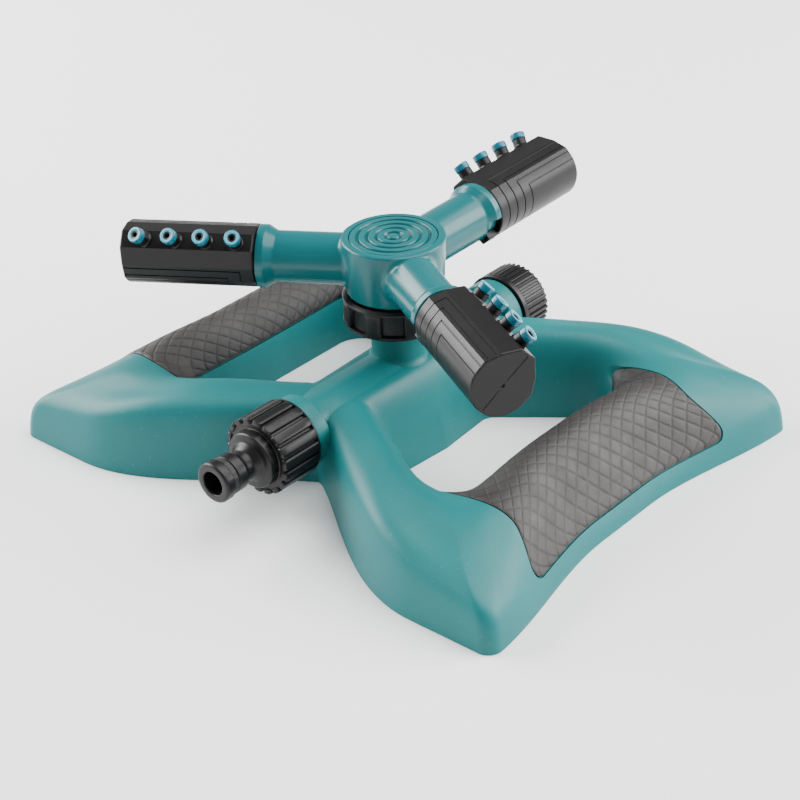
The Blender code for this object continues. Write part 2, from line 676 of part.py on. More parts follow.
def outlet_cap():
    socket = CAP_LENGTH - CAP_FACE
    body = turned("cap", [
        (0.0, CAP_LENGTH), (CAP_RADIUS - 0.0030, CAP_LENGTH), (CAP_RADIUS - 0.0006, CAP_LENGTH - 0.0008),
        (CAP_RADIUS, CAP_LENGTH - 0.0018), (CAP_RADIUS - 0.0004, 0.0), (SPIGOT_RADIUS + CLEARANCE, 0.0),
        (SPIGOT_RADIUS + CLEARANCE, socket), (0.0, socket)])
    grooved(body, CAP_RADIUS, CAP_GROOVE_DEPTH, CAP_GROOVE_WIDTH, CAP_GROOVES, 0.0022,
            CAP_LENGTH - 0.0030)
    body.data.transform(along_barrel(OUTLET_SEAT_Y + CLEARANCE, 1))
    return body


def outlet_washer():
    start = SPIGOT_LENGTH + CLEARANCE
    return ring("outlet_washer", BARREL_BORE, SPIGOT_RADIUS - 0.0004, start,
                start + WASHER_THICKNESS, 20, place=along_barrel(OUTLET_SEAT_Y, 1))


# --- Swivel -----------------------------------------------------------------------------------------
def collar_nut():
    chamfer = 0.0012
    inside = RISER_COLLAR_RADIUS + CLEARANCE
    lip_z = NUT_TOP_Z - NUT_LIP
    nut = turned("nut", [
        (BUSH_NECK_RADIUS + CLEARANCE, NUT_TOP_Z), (NUT_RADIUS - chamfer, NUT_TOP_Z),
        (NUT_RADIUS, NUT_TOP_Z - chamfer), (NUT_RADIUS, RISER_SEAT_Z + chamfer),
        (NUT_RADIUS - chamfer, RISER_SEAT_Z), (inside, RISER_SEAT_Z), (inside, lip_z),
        (BUSH_NECK_RADIUS + CLEARANCE, lip_z)])
    panel_width = NUT_RADIUS * math.tau / NUT_LOBES / 2.0
    grooved(nut, NUT_RADIUS, 0.0012, panel_width, NUT_LOBES, RISER_SEAT_Z + 0.0020,
            NUT_TOP_Z - 0.0020)
    return nut


def thrust_washer():
    return ring("thrust_washer", RISER_BORE + 0.0005, BUSH_FLANGE_RADIUS, THRUST_Z,
                THRUST_Z + THRUST_THICKNESS)


def swivel_bush():
    """Turns with the hub: its flange is held under the nut's lip."""
    flange_top = BUSH_Z + BUSH_FLANGE_THICKNESS
    neck_top = flange_top + BUSH_LENGTH
    groove = HUB_BOTTOM_Z + 0.0030
    groove_radius = BUSH_NECK_RADIUS - 1.4 * SEAL_SECTION
    return turned("bush", [
        (RISER_BORE, neck_top), (BUSH_NECK_RADIUS, neck_top), (BUSH_NECK_RADIUS, groove + SEAL_SECTION),
        (groove_radius, groove + SEAL_SECTION), (groove_radius, groove - SEAL_SECTION),
        (BUSH_NECK_RADIUS, groove - SEAL_SECTION), (BUSH_NECK_RADIUS, flange_top),
        (BUSH_FLANGE_RADIUS, flange_top), (BUSH_FLANGE_RADIUS, BUSH_Z), (RISER_BORE, BUSH_Z)])


def bush_seal():
    groove = HUB_BOTTOM_Z + 0.0030
    half = SEAL_SECTION - CLEARANCE
    groove_radius = BUSH_NECK_RADIUS - 1.4 * SEAL_SECTION
    return ring("bush_seal", groove_radius + CLEARANCE, BUSH_NECK_RADIUS, groove - half, groove + half,
                16)


# --- Rotor ------------------------------------------------------------------------------------------
def rotor_hub():
    hub = cylinder_cone("hub", HUB_TOP_RADIUS, HUB_BOTTOM_RADIUS, HUB_BOTTOM_Z, HUB_TOP_Z)
    for index in range(ARM_COUNT):
        arm = turned("arm", [
            (0.0, ARM_LENGTH), (ARM_FLARE_RADIUS, ARM_LENGTH), (ARM_FLARE_RADIUS, ARM_LENGTH - 0.0030),
            (ARM_RADIUS, ARM_LENGTH - 0.0065), (ARM_RADIUS, 0.0), (0.0, 0.0)],
            20, place=arm_place(index) @ TURN_TO_X)
        boolean(hub, "UNION", arm)
    for index in range(ARM_COUNT):
        bore = cylinder("bore", ARM_BORE, HUB_CHAMBER_RADIUS / 2.0, ARM_LENGTH + OVERLAP, 16,
                        place=arm_place(index) @ TURN_TO_X)
        boolean(hub, "DIFFERENCE", bore, lug_slot(index))
    seat = HUB_TOP_Z - HUB_CAP_THICKNESS
    neck_top = BUSH_Z + BUSH_FLANGE_THICKNESS + BUSH_LENGTH
    inside = turned("inside", [
        (0.0, HUB_TOP_Z + OVERLAP), (HUB_CAP_RADIUS + CLEARANCE, HUB_TOP_Z + OVERLAP),
        (HUB_CAP_RADIUS + CLEARANCE, seat - CLEARANCE), (HUB_CHAMBER_RADIUS, seat - CLEARANCE),
        (HUB_CHAMBER_RADIUS, neck_top - 0.0040), (BUSH_NECK_RADIUS + CLEARANCE, neck_top - 0.0040),
        (BUSH_NECK_RADIUS + CLEARANCE, HUB_BOTTOM_Z - OVERLAP), (0.0, HUB_BOTTOM_Z - OVERLAP)])
    return boolean(hub, "DIFFERENCE", inside)


def lug_slot(index):
    """The slot in an arm's flare that the nozzle tube's stop lug swings in."""
    low = ARM_FLARE_RADIUS - LUG_THICKNESS - CLEARANCE
    high = ARM_FLARE_RADIUS + 2.0 * OVERLAP
    reach = math.atan2(LUG_WIDTH / 2.0, low) + TUBE_SWING
    angles = [reach * (2.0 * step / 8 - 1.0) for step in range(9)]
    outline = [(high * math.sin(angle), -high * math.cos(angle)) for angle in angles]
    outline += [(low * math.sin(angle), -low * math.cos(angle)) for angle in angles[::-1]]
    slot = prism_along_x("slot", outline, ARM_LENGTH - LUG_LENGTH - CLEARANCE, ARM_LENGTH + OVERLAP)
    slot.data.transform(tube_place(index))
    return slot


def cylinder_cone(name, top_radius, bottom_radius, low, high):
    return turned(name, [
        (0.0, high), (top_radius - 0.0006, high), (top_radius, high - 0.0006),
        (bottom_radius, low), (0.0, low)])


def hub_cap():
    """A disc with raised rings round a centre button."""
    floor = HUB_TOP_Z - HUB_CAP_RING_HEIGHT
    half = HUB_CAP_RING_PITCH * 0.22
    profile = [(0.0, HUB_TOP_Z), (half, HUB_TOP_Z), (half + 0.0005, floor)]
    for index in range(1, HUB_CAP_RINGS + 1):
        middle = index * HUB_CAP_RING_PITCH + 0.0006
        profile += [(middle - half - 0.0005, floor), (middle - half, HUB_TOP_Z),
                    (middle + half, HUB_TOP_Z)]
        if index < HUB_CAP_RINGS:
            profile.append((middle + half + 0.0005, floor))
    bottom = HUB_TOP_Z - HUB_CAP_THICKNESS
    profile += [(HUB_CAP_RADIUS, HUB_TOP_Z - 0.0004), (HUB_CAP_RADIUS, bottom), (0.0, bottom)]
    return turned("hub_cap", profile)


# --- Nozzle tubes: X along the tube, Z the way its nozzles point ------------------------------------
def tube_section():
    """Flat pad under the nozzles, flats beside it, and a rounder back."""
    half_pad = TUBE_PAD_WIDTH / 2.0
    facet = math.tau / TUBE_FACETS
    corner = TUBE_RADIUS / math.cos(facet / 2.0)
    flats = [(math.sin(facet * (step + 0.5)) * corner, math.cos(facet * (step + 0.5)) * corner)
             for step in range(1, TUBE_FACETS // 4)]
    back = [(math.cos(angle) * TUBE_RADIUS, -math.sin(angle) * TUBE_RADIUS)
            for angle in (math.pi * step / TUBE_BACK_STEPS for step in range(TUBE_BACK_STEPS + 1))]
    side = [(half_pad, TUBE_PAD_HEIGHT), *flats]
    return side + back + [(-y, z) for y, z in side[::-1]]


def prism_along_x(name, outline, low, high):
    bm = bmesh.new()
    ends = [[bm.verts.new((x, y, z)) for y, z in outline] for x in (low, high)]
    count = len(outline)
    for index in range(count):
        following = (index + 1) % count
        bm.faces.new((ends[0][index], ends[0][following], ends[1][following], ends[1][index]))
    bm.faces.new(ends[0])
    bm.faces.new(ends[1])
    return new_object(name, bm)


def nozzle_place(index):
    """Z runs out of the nozzle, from the tube's axis under the nozzle's foot."""
    x = NOZZLE_FIRST + index * NOZZLE_PITCH
    return Matrix.Translation((x, 0.0, 0.0)) @ Matrix.Rotation(NOZZLE_FAN * index, 4, "Y")


def stem_foot(index):
    """Distance along the nozzle from the tube's axis to the top of its stem."""
    return TUBE_PAD_HEIGHT / math.cos(NOZZLE_FAN * index) + STEM_LENGTH


def nozzle_tube():
    start = ARM_LENGTH + CLEARANCE
    tube = prism_along_x("tube", tube_section(), start, TUBE_END)
    groove = ARM_LENGTH - TUBE_SPIGOT_LENGTH + 0.0035
    spigot_radius = ARM_BORE - CLEARANCE
    groove_radius = spigot_radius - 1.4 * SEAL_SECTION
    spigot = turned("spigot", [
        (0.0, start + OVERLAP), (spigot_radius, start + OVERLAP), (spigot_radius, groove + SEAL_SECTION),
        (groove_radius, groove + SEAL_SECTION), (groove_radius, groove - SEAL_SECTION),
        (spigot_radius, groove - SEAL_SECTION), (spigot_radius, ARM_LENGTH - TUBE_SPIGOT_LENGTH),
        (0.0, ARM_LENGTH - TUBE_SPIGOT_LENGTH)], 16, place=TURN_TO_X)
    half = LUG_WIDTH / 2.0
    low = ARM_FLARE_RADIUS - LUG_THICKNESS
    rim = math.sqrt(ARM_FLARE_RADIUS ** 2 - half ** 2)
    outline = [(half, -low), (half, -rim), (0.0, -ARM_FLARE_RADIUS), (-half, -rim), (-half, -low)]
    lug = prism_along_x("lug", outline, ARM_LENGTH - LUG_LENGTH, start + 4.0 * OVERLAP)
    boolean(tube, "UNION", spigot, lug)
    for index in range(NOZZLES_PER_TUBE):
        top = stem_foot(index)
        stem = turned("stem", [
            (0.0, top + NOSE_LENGTH), (NOSE_RADIUS, top + NOSE_LENGTH), (NOSE_RADIUS, top),
            (STEM_RADIUS, top), (STEM_RADIUS, TUBE_RADIUS - TUBE_WALL / 2.0),
            (0.0, TUBE_RADIUS - TUBE_WALL / 2.0)], SMALL_STEPS, place=nozzle_place(index))
        boolean(tube, "UNION", stem)
    inside = turned("inside", [
        (0.0, TUBE_END - TUBE_WALL), (TUBE_RADIUS - TUBE_WALL, TUBE_END - TUBE_WALL),
        (TUBE_RADIUS - TUBE_WALL, start + TUBE_WALL), (SPIGOT_BORE, start + TUBE_WALL - 0.0010),
        (SPIGOT_BORE, 0.0), (0.0, 0.0)], 16, place=TURN_TO_X @ Matrix.Rotation(math.pi / 16, 4, "Z"))
    boolean(tube, "DIFFERENCE", inside)
    for index in range(NOZZLES_PER_TUBE):
        jet = cylinder("jet", TIP_BORE, TUBE_RADIUS / 2.0, stem_foot(index) + NOSE_LENGTH + OVERLAP,
                       6, place=nozzle_place(index))
        boolean(tube, "DIFFERENCE", jet)
    return tube


def nozzle_tip(index):
    low = stem_foot(index) + CLEARANCE
    high = low + TIP_LENGTH
    socket = stem_foot(index) + NOSE_LENGTH + CLEARANCE
    return turned("tip", [
        (TIP_BORE, high), (TIP_RADIUS - 0.0006, high), (TIP_RADIUS, high - 0.0006), (TIP_RADIUS, low),
        (NOSE_RADIUS + CLEARANCE, low), (NOSE_RADIUS + CLEARANCE, socket), (TIP_BORE, socket)],
        SMALL_STEPS, place=nozzle_place(index))


def tube_seal():
    groove = ARM_LENGTH - TUBE_SPIGOT_LENGTH + 0.0035
    half = SEAL_SECTION - CLEARANCE
    spigot_radius = ARM_BORE - CLEARANCE
    groove_radius = spigot_radius - 1.4 * SEAL_SECTION
    return ring("tube_seal", groove_radius + CLEARANCE, spigot_radius, groove - half, groove + half,
                16, place=TURN_TO_X)


# --- Assembly ---------------------------------------------------------------------------------------
clear_scene()
PARTS = new_collection("lawn_sprinkler")
CUTTERS = new_collection("cutters")


def build_base(materials):
    shell = base_shell()
    right_seat = grip_seat_cutter()
    left_seat = mirrored(right_seat, "grip_seat_left")
    boolean(shell, "DIFFERENCE", right_seat, left_seat, solver="MANIFOLD")
    tidy_mesh(shell)
    finish(shell, "base_shell", materials["teal"])
    right = grip_solid()
    left = mirrored(right, "grip_left")
    finish(right, "grip_right", materials["grip"])
    finish(left, "grip_left", materials["grip"])
    finish(inlet_adapter(), "inlet_adapter", materials["charcoal"])
    finish(nipple_seal(), "nipple_seal", materials["rubber"])
    finish(inlet_washer(), "inlet_washer", materials["rubber"])
    finish(outlet_cap(), "outlet_cap", materials["charcoal"])
    finish(outlet_washer(), "outlet_washer", materials["rubber"])
    finish(thrust_washer(), "thrust_washer", materials["white"])
    finish(collar_nut(), "collar_nut", materials["charcoal"])


def build_rotor(materials):
    axis = empty("rotor_axis", Matrix.Translation((0.0, 0.0, HUB_BOTTOM_Z)))
    finish(swivel_bush(), "swivel_bush", materials["white"], axis)
    finish(bush_seal(), "bush_seal", materials["rubber"], axis)
    finish(rotor_hub(), "rotor_hub", materials["gloss"], axis)
    finish(hub_cap(), "hub_cap", materials["gloss"], axis)
    return axis


def build_nozzle_tubes(materials, rotor_axis):
    tube = nozzle_tube()
    seal = tube_seal()
    tips = [nozzle_tip(index) for index in range(NOZZLES_PER_TUBE)]
    for arm in range(ARM_COUNT):
        place = tube_place(arm)
        axis = empty(f"tube_axis_{arm + 1}", place, rotor_axis)
        finish(placed_copy(tube, place), f"nozzle_tube_{arm + 1}", materials["charcoal"], axis)
        finish(placed_copy(seal, place), f"tube_seal_{arm + 1}", materials["rubber"], axis)
        for index, tip in enumerate(tips):
            name = f"nozzle_tip_{arm + 1}_{index + 1}"
            finish(placed_copy(tip, place), name, materials["tip"], axis)
    for obj in (tube, seal, *tips):
        bpy.data.objects.remove(obj, do_unlink=True)


def placed_copy(obj, place):
    copy = bpy.data.objects.new(obj.name, obj.data.copy())
    copy.data.transform(place)
    CUTTERS.objects.link(copy)
    return copy


def main():
    materials = {
        "teal": new_material("teal_plastic", TEAL),
        "gloss": new_material("teal_gloss_plastic", TEAL_GLOSS),
        "tip": new_material("blue_tip_plastic", TIP_BLUE),
        "charcoal": new_material("charcoal_plastic", CHARCOAL),
        "grip": new_material("grey_grip_rubber", GRIP_GREY),
        "rubber": new_material("black_seal_rubber", RUBBER),
        "white": new_material("white_bearing_plastic", WHITE_PLASTIC),
    }
    build_base(materials)
    rotor_axis = build_rotor(materials)
    build_nozzle_tubes(materials, rotor_axis)


main()
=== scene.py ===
"""Looks of a garden lawn sprinkler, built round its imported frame.

A hollow butterfly base with a water barrel carries a rotor with three arms, and each arm ends in a
nozzle tube that turns about the arm. Every size is in metres, in the frame's own axes: +Z up along the
rotor's axis, -Y towards the hose inlet, and the two grips at +X and -X.
"""

import logging
import math
from collections.abc import Iterable, Sequence
from dataclasses import dataclass
from enum import Enum
from functools import cached_property
from typing import Any

import bmesh
import bpy
import numpy as np
from mathutils import Matrix, Vector
from mathutils.bvhtree import BVHTree


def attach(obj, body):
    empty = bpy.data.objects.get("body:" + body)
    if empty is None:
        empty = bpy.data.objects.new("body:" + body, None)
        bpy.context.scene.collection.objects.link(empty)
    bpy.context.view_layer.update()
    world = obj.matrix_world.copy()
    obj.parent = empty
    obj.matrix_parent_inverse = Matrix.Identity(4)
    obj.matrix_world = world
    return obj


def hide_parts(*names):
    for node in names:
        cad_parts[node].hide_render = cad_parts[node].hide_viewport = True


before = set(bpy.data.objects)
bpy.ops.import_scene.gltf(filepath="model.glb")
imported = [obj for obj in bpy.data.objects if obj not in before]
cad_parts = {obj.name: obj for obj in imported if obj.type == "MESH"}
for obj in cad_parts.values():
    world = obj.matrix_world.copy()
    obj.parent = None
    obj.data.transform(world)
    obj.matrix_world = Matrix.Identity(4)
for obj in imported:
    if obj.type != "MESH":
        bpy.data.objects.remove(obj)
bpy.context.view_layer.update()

LOG = logging.getLogger("sprinkler")
Colour = tuple[float, float, float]
Corner = tuple[float, float, float]
Object = bpy.types.Object
QUARTER = math.pi / 2.0
MERGE = 0.000001            # points nearer than this become one
SHARP = 32.0                # edges sharper than this many degrees stay sharp
COARSE, EVEN, FINE = 64, 96, 128    # sides of a turned solid


# --- Node expressions -------------------------------------------------------------------------------
@dataclass(frozen=True)
class Value:
    """A number or vector socket that arithmetic can be written with.

    Args:
        tree: the node tree that the socket belongs to.
        socket: the output socket that carries the value.
    """

    tree: "NodeTree"
    socket: bpy.types.NodeSocket

    def __add__(self, other: Any) -> "Value":
        """Sum."""
        return self.tree.math("ADD", self, other)

    def __radd__(self, other: Any) -> "Value":
        """Sum, the other way round."""
        return self.tree.math("ADD", other, self)

    def __sub__(self, other: Any) -> "Value":
        """Difference."""
        return self.tree.math("SUBTRACT", self, other)

    def __rsub__(self, other: Any) -> "Value":
        """Difference, the other way round."""
        return self.tree.math("SUBTRACT", other, self)

    def __mul__(self, other: Any) -> "Value":
        """Product."""
        return self.tree.math("MULTIPLY", self, other)

    def __rmul__(self, other: Any) -> "Value":
        """Product, the other way round."""
        return self.tree.math("MULTIPLY", other, self)

    def __truediv__(self, other: Any) -> "Value":
        """Quotient."""
        return self.tree.math("DIVIDE", self, other)

    def __rtruediv__(self, other: Any) -> "Value":
        """Quotient, the other way round."""
        return self.tree.math("DIVIDE", other, self)


class NodeTree:
    """A node tree that nodes are added to as expressions."""

    def __init__(self, tree: bpy.types.NodeTree) -> None:
        """Wraps a tree."""
        self.tree = tree

    def node(self, kind: str, settings: dict[str, Any] | None = None,
             sockets: dict[Any, Any] | None = None, output: int | str = 0) -> Value:
        """Adds a node.

        Args:
            kind: the node's type.
            settings: its settings, set before its sockets.
            sockets: a value or a link for each input, by name or number.
            output: the output to return.

        Returns:
            The chosen output.
        """
        made = self.tree.nodes.new(kind)
        for name, setting in (settings or {}).items():
            setattr(made, name, setting)
        for key, value in (sockets or {}).items():
            self.put(made.inputs[key], value)
        return Value(self, made.outputs[output])

    def put(self, socket: bpy.types.NodeSocket, value: Any) -> None:
        """Links a value to a socket, or sets a number there."""
        if isinstance(value, Value):
            self.tree.links.new(value.socket, socket)
        else:
            socket.default_value = value

    def math(self, operation: str, first: Any, second: Any = 0.0) -> Value:
        """One Math node's result."""
        return self.node("ShaderNodeMath", {"operation": operation}, {0: first, 1: second})


class ShaderTree(NodeTree):
    """A material's node tree, ending in one Principled shader."""

    def __init__(self, name: str) -> None:
        """Starts the material."""
        self.material = bpy.data.materials.new(name)
        self.material.use_nodes = True
        super().__init__(self.material.node_tree)
        self.shader = self.tree.nodes["Principled BSDF"]

    def place(self) -> Value:
        """Object coordinates."""
        return self.node("ShaderNodeTexCoord", output="Object")

    def noise(self, scale: float, detail: float = 2.0, rough: float = 0.5) -> Value:
        """Noise over the object.

        Args:
            scale: its frequency per metre.
            detail: its octaves.
            rough: how strong the fine octaves are.

        Returns:
            A value about 0.5.
        """
        return self.node("ShaderNodeTexNoise", {"noise_dimensions": "3D"},
                         {"Vector": self.place(), "Scale": scale, "Detail": detail, "Roughness": rough})

    def spread(self, value: Value, low: float, high: float, to_low: float, to_high: float) -> Value:
        """A value moved from one range to another, and held inside it.

        Args:
            value: what is moved.
            low: start of its range.
            high: end of its range.
            to_low: what the start becomes.
            to_high: what the end becomes.

        Returns:
            The moved value.
        """
        return self.node("ShaderNodeMapRange", {"clamp": True},
                         {"Value": value, 1: low, 2: high, 3: to_low, 4: to_high})

    def mix(self, share: Any, first: Any, second: Any) -> Value:
        """Two colours mixed, the first where the share is 0 and the second where it is 1."""
        made = self.tree.nodes.new("ShaderNodeMix")
        made.data_type = "RGBA"
        self.put(made.inputs[0], share)
        for slot, colour in ((6, first), (7, second)):
            self.put(made.inputs[slot], colour if isinstance(colour, Value) else (*colour, 1.0))
        return Value(self, made.outputs[2])

    def bump(self, height: Value, strength: float, distance: float) -> Value:
        """A normal bent by a height.

        Args:
            height: the height, 0 to 1.
            strength: how much of it shows.
            distance: what a height of 1 is, in metres.

        Returns:
            The normal.
        """
        return self.node("ShaderNodeBump", None,
                         {"Strength": strength, "Distance": distance, "Height": height})

    def finish(self, **sockets: Any) -> bpy.types.Material:
        """Sets the shader's sockets, named with underscores for spaces, and returns the material."""
        for name, value in sockets.items():
            self.put(self.shader.inputs[name.replace("_", " ")], value)
        return self.material


# --- Finishes ---------------------------------------------------------------------------------------
@dataclass(frozen=True)
class MouldedPlastic:
    """Injection-moulded plastic with a fine spark-eroded grain and faint flow mottling.

    Args:
        name: the material's name.
        colour: its colour.
        deep: the colour of its darker mottles.
        roughness: its mean roughness.
        grain: the grain's height.
        coat: strength of its clear sheen.
        dust: how much pale dust lies on it.
        shine: strength of its reflection head-on.
    """

    name: str
    colour: Colour
    deep: Colour
    roughness: float
    grain: float = 0.00003
    coat: float = 0.0
    dust: float = 0.0
    shine: float = 0.5

    def make(self) -> bpy.types.Material:
        """Builds the material."""
        tree = ShaderTree(self.name)
        mottle = tree.spread(tree.noise(28.0, 4.0, 0.6), 0.35, 0.68, 0.0, 1.0)
        colour = tree.mix(mottle, self.deep, self.colour)
        if self.dust > 0.0:
            speck = tree.spread(tree.noise(900.0, 3.0, 0.7), 0.66, 0.74, 0.0, self.dust)
            colour = tree.mix(speck, colour, (0.42, 0.55, 0.55))
        smear = tree.spread(tree.noise(75.0, 5.0, 0.65), 0.3, 0.7, -0.025, 0.03)
        grain = tree.noise(1500.0, 2.0, 0.55)
        return tree.finish(
            Base_Color=colour, Roughness=smear + self.roughness, Coat_Weight=self.coat,
            Coat_Roughness=0.18, Specular_IOR_Level=self.shine, Normal=tree.bump(grain, 0.55, self.grain))


@dataclass(frozen=True)
class GripRubber:
    """Matt rubber with a leathery skin between the lattice's grooves, and painted shade in the grooves.

    Args:
        name: the material's name.
        colour: its colour.
        worn: the paler colour of its rubbed patches.
        line: the dark colour of the painted shade in its grooves.
    """

    name: str
    colour: Colour
    worn: Colour
    line: Colour = (0.006, 0.005, 0.005)

    def make(self) -> bpy.types.Material:
        """Builds the material."""
        tree = ShaderTree(self.name)
        rub = tree.spread(tree.noise(60.0, 5.0, 0.6), 0.40, 0.72, 0.0, 0.9)
        # the lattice's stored groove mask darkens the colour three quarters of the way to line: painted shade
        # in the grooves
        groove_and_shade = tree.node("ShaderNodeAttribute", {"attribute_name": "groove_and_shade"}, output="Fac")
        colour = tree.mix(groove_and_shade * 0.75, tree.mix(rub, self.colour, self.worn), self.line)
        cells = tree.node("ShaderNodeTexVoronoi", {"feature": "F1"},
                          {"Vector": tree.place(), "Scale": 900.0})
        fine = tree.noise(2600.0, 2.0, 0.6)
        smear = tree.spread(tree.noise(120.0, 4.0, 0.6), 0.3, 0.7, 0.50, 0.66)
        return tree.finish(Base_Color=colour, Roughness=smear, Specular_IOR_Level=0.45,
                           Normal=tree.bump(cells * 0.6 + fine * 0.4, 0.6, 0.00006))


@dataclass(frozen=True)
class FloorPaint:
    """The plain pale floor.

    Args:
        name: the material's name.
        colour: its colour.
    """

    name: str = "pale_floor"
    colour: Colour = (0.94, 0.94, 0.94)

    def make(self) -> bpy.types.Material:
        """Builds the material."""
        tree = ShaderTree(self.name)
        cloud = tree.spread(tree.noise(3.0, 2.0), 0.3, 0.7, 0.0, 1.0)
        dim = tuple(part * 0.985 for part in self.colour)
        return tree.finish(Base_Color=tree.mix(cloud, dim, self.colour), Roughness=0.9)


class Finish(Enum):
    """The finishes of the sprinkler and its floor."""

    BASE_TEAL = MouldedPlastic("base_teal_plastic", (0.0010, 0.143, 0.148), (0.0006, 0.128, 0.133), 0.46,
                               grain=0.00004, dust=0.18, shine=0.32)
    ROTOR_TEAL = MouldedPlastic("rotor_teal_plastic", (0.0005, 0.104, 0.114), (0.0004, 0.093, 0.102), 0.25,
                                grain=0.00001, coat=0.05, shine=0.30)
    TIP_BLUE = MouldedPlastic("nozzle_blue_plastic", (0.0010, 0.125, 0.185), (0.0006, 0.110, 0.165), 0.24,
                              grain=0.00001, coat=0.1, shine=0.4)
    TIP_FACE = MouldedPlastic("nozzle_face_plastic", (0.060, 0.360, 0.460), (0.050, 0.330, 0.420), 0.30,
                              grain=0.00001)
    CHARCOAL = MouldedPlastic("charcoal_plastic", (0.0055, 0.0053, 0.0056), (0.0042, 0.0040, 0.0043), 0.36,
                              grain=0.00005, shine=0.29)
    TUBE_CHARCOAL = MouldedPlastic("tube_charcoal_plastic", (0.0044, 0.0038, 0.0039),
                                   (0.0034, 0.0029, 0.0030), 0.38, grain=0.00004, shine=0.26)
    # near-black colour painted into the nozzles' jet holes: painted shade
    BLACK = MouldedPlastic("painted_hole_shade", (0.004, 0.004, 0.004), (0.003, 0.003, 0.003), 0.35)
    SEAL = MouldedPlastic("seal_rubber", (0.006, 0.006, 0.006), (0.0045, 0.0045, 0.0045), 0.55)
    BEARING = MouldedPlastic("bearing_plastic", (0.45, 0.45, 0.43), (0.41, 0.41, 0.39), 0.35)
    GRIP = GripRubber("grip_rubber", (0.020, 0.0175, 0.0165), (0.034, 0.030, 0.028))
    FLOOR = FloorPaint()


class Paint:
    """Makes each finish's material once."""

    made: dict[Finish, bpy.types.Material] = {}

    @classmethod
    def of(cls, finish: Finish) -> bpy.types.Material:
        """The finish's material."""
        if finish not in cls.made:
            cls.made[finish] = finish.value.make()
        return cls.made[finish]


# --- Mesh building ----------------------------------------------------------------------------------
class Solid:
    """Points and faces of one piece while it is built."""

    def __init__(self) -> None:
        """Starts empty."""
        self.points: list[np.ndarray] = []
        self.faces: list[tuple[int, ...]] = []
        self.slots: list[int] = []
        self.count = 0

    def grid(self, rows: np.ndarray, wrap_rows: bool = False, wrap_columns: bool = False) -> None:
        """Adds a sheet of quads over rows of points.

        Args:
            rows: points, as rows by columns by 3.
            wrap_rows: whether the last row joins the first.
            wrap_columns: whether each row's end joins its start.
        """
        high, wide = rows.shape[:2]
        start = self.count
        self.points.append(rows.reshape(-1, 3))
        self.count += high * wide
        for row in range(high if wrap_rows else high - 1):
            below = start + row * wide
            above = start + (row + 1) % high * wide
            for column in range(wide if wrap_columns else wide - 1):
                beside = (column + 1) % wide
                self.faces.append((below + column, below + beside, above + beside, above + column))
                self.slots.append(0)

    def slab(self, top: np.ndarray, bottom: np.ndarray) -> None:
        """Adds a closed slab between two matching grids of points."""
        self.grid(top)
        self.grid(bottom)
        for edge in ((0, slice(None)), (-1, slice(None)), (slice(None), 0), (slice(None), -1)):
            self.grid(np.stack([top[edge], bottom[edge]]))

    def turned(self, profile: Sequence[Sequence[float]], steps: int,
               slots: Sequence[int] | None = None) -> None:
        """Adds a solid turned about Z.

        Args:
            profile: radius and height of each point, closed unless it starts on the axis.
            steps: sides round it.
            slots: a material slot for each step of the profile.
        """
        outline = np.array(profile)
        angles = np.linspace(0.0, math.tau, steps, endpoint=False)
        rows = np.stack([np.outer(outline[:, 0], np.cos(angles)), np.outer(outline[:, 0], np.sin(angles)),
                         np.repeat(outline[:, 1:2], steps, axis=1)], axis=2)
        before = len(self.faces)
        self.grid(rows, wrap_rows=bool(outline[0, 0] > MERGE), wrap_columns=True)
        if slots:
            for index in range(before, len(self.faces)):
                self.slots[index] = slots[(index - before) // steps]

    def object(self, name: str, finishes: Sequence[Finish], angle: float = SHARP,
               place: Matrix = Matrix()) -> Object:
        """Makes the piece, with merged seams and faces that point out.

        Args:
            name: the piece's name.
            finishes: a finish for each material slot.
            angle: edges sharper than this many degrees stay sharp.
            place: where the mesh goes.

        Returns:
            The piece, at the origin.
        """
        mesh = bpy.data.meshes.new(name)
        mesh.from_pydata(np.concatenate(self.points).tolist(), [], self.faces)
        mesh.polygons.foreach_set("material_index", self.slots)
        bm = bmesh.new()
        bm.from_mesh(mesh)
        bmesh.ops.remove_doubles(bm, verts=bm.verts, dist=MERGE)
        bmesh.ops.dissolve_degenerate(bm, dist=MERGE, edges=bm.edges)
        bmesh.ops.recalc_face_normals(bm, faces=bm.faces)
        bm.to_mesh(mesh)
        bm.free()
        mesh.transform(place)
        for finish in finishes:
            mesh.materials.append(Paint.of(finish))
        return linked(name, mesh, angle)


def linked(name: str, mesh: bpy.types.Mesh, angle: float = SHARP) -> Object:
    """A mesh as a piece in the scene, smooth except over edges sharper than an angle in degrees."""
    piece = bpy.data.objects.new(name, mesh)
    bpy.context.scene.collection.objects.link(piece)
    shade(piece, angle)
    return piece


def shade(piece: Object, angle: float) -> None:
    """Smooths a piece, except over edges sharper than an angle in degrees."""
    piece.data.shade_smooth()
    piece.data.set_sharp_from_angle(angle=math.radians(angle))


def rounded(corners: Sequence[Corner], closed: bool = False, steps: int = 5) -> list[tuple[float, float]]:
    """A polyline with its corners rounded.

    Args:
        corners: two coordinates and a radius for each corner.
        closed: whether the last corner joins the first.
        steps: segments in each round.

    Returns:
        The points.
    """
    result: list[tuple[float, float]] = []
    count = len(corners)
    for index, (x, y, radius) in enumerate(corners):
        if radius <= 0.0 or (not closed and index in (0, count - 1)):
            result.append((x, y))
            continue
        here = Vector((x, y))
        before = Vector(corners[index - 1][:2]) - here
        after = Vector(corners[(index + 1) % count][:2]) - here
        half = before.angle(after) / 2.0
        reach = min(radius / math.tan(half), before.length * 0.49, after.length * 0.49)
        start = here + before.normalized() * reach
        end = here + after.normalized() * reach
        for step in range(steps + 1):
            share = step / steps
            point = start.lerp(here, share).lerp(here.lerp(end, share), share)
            result.append((point.x, point.y))
    return result


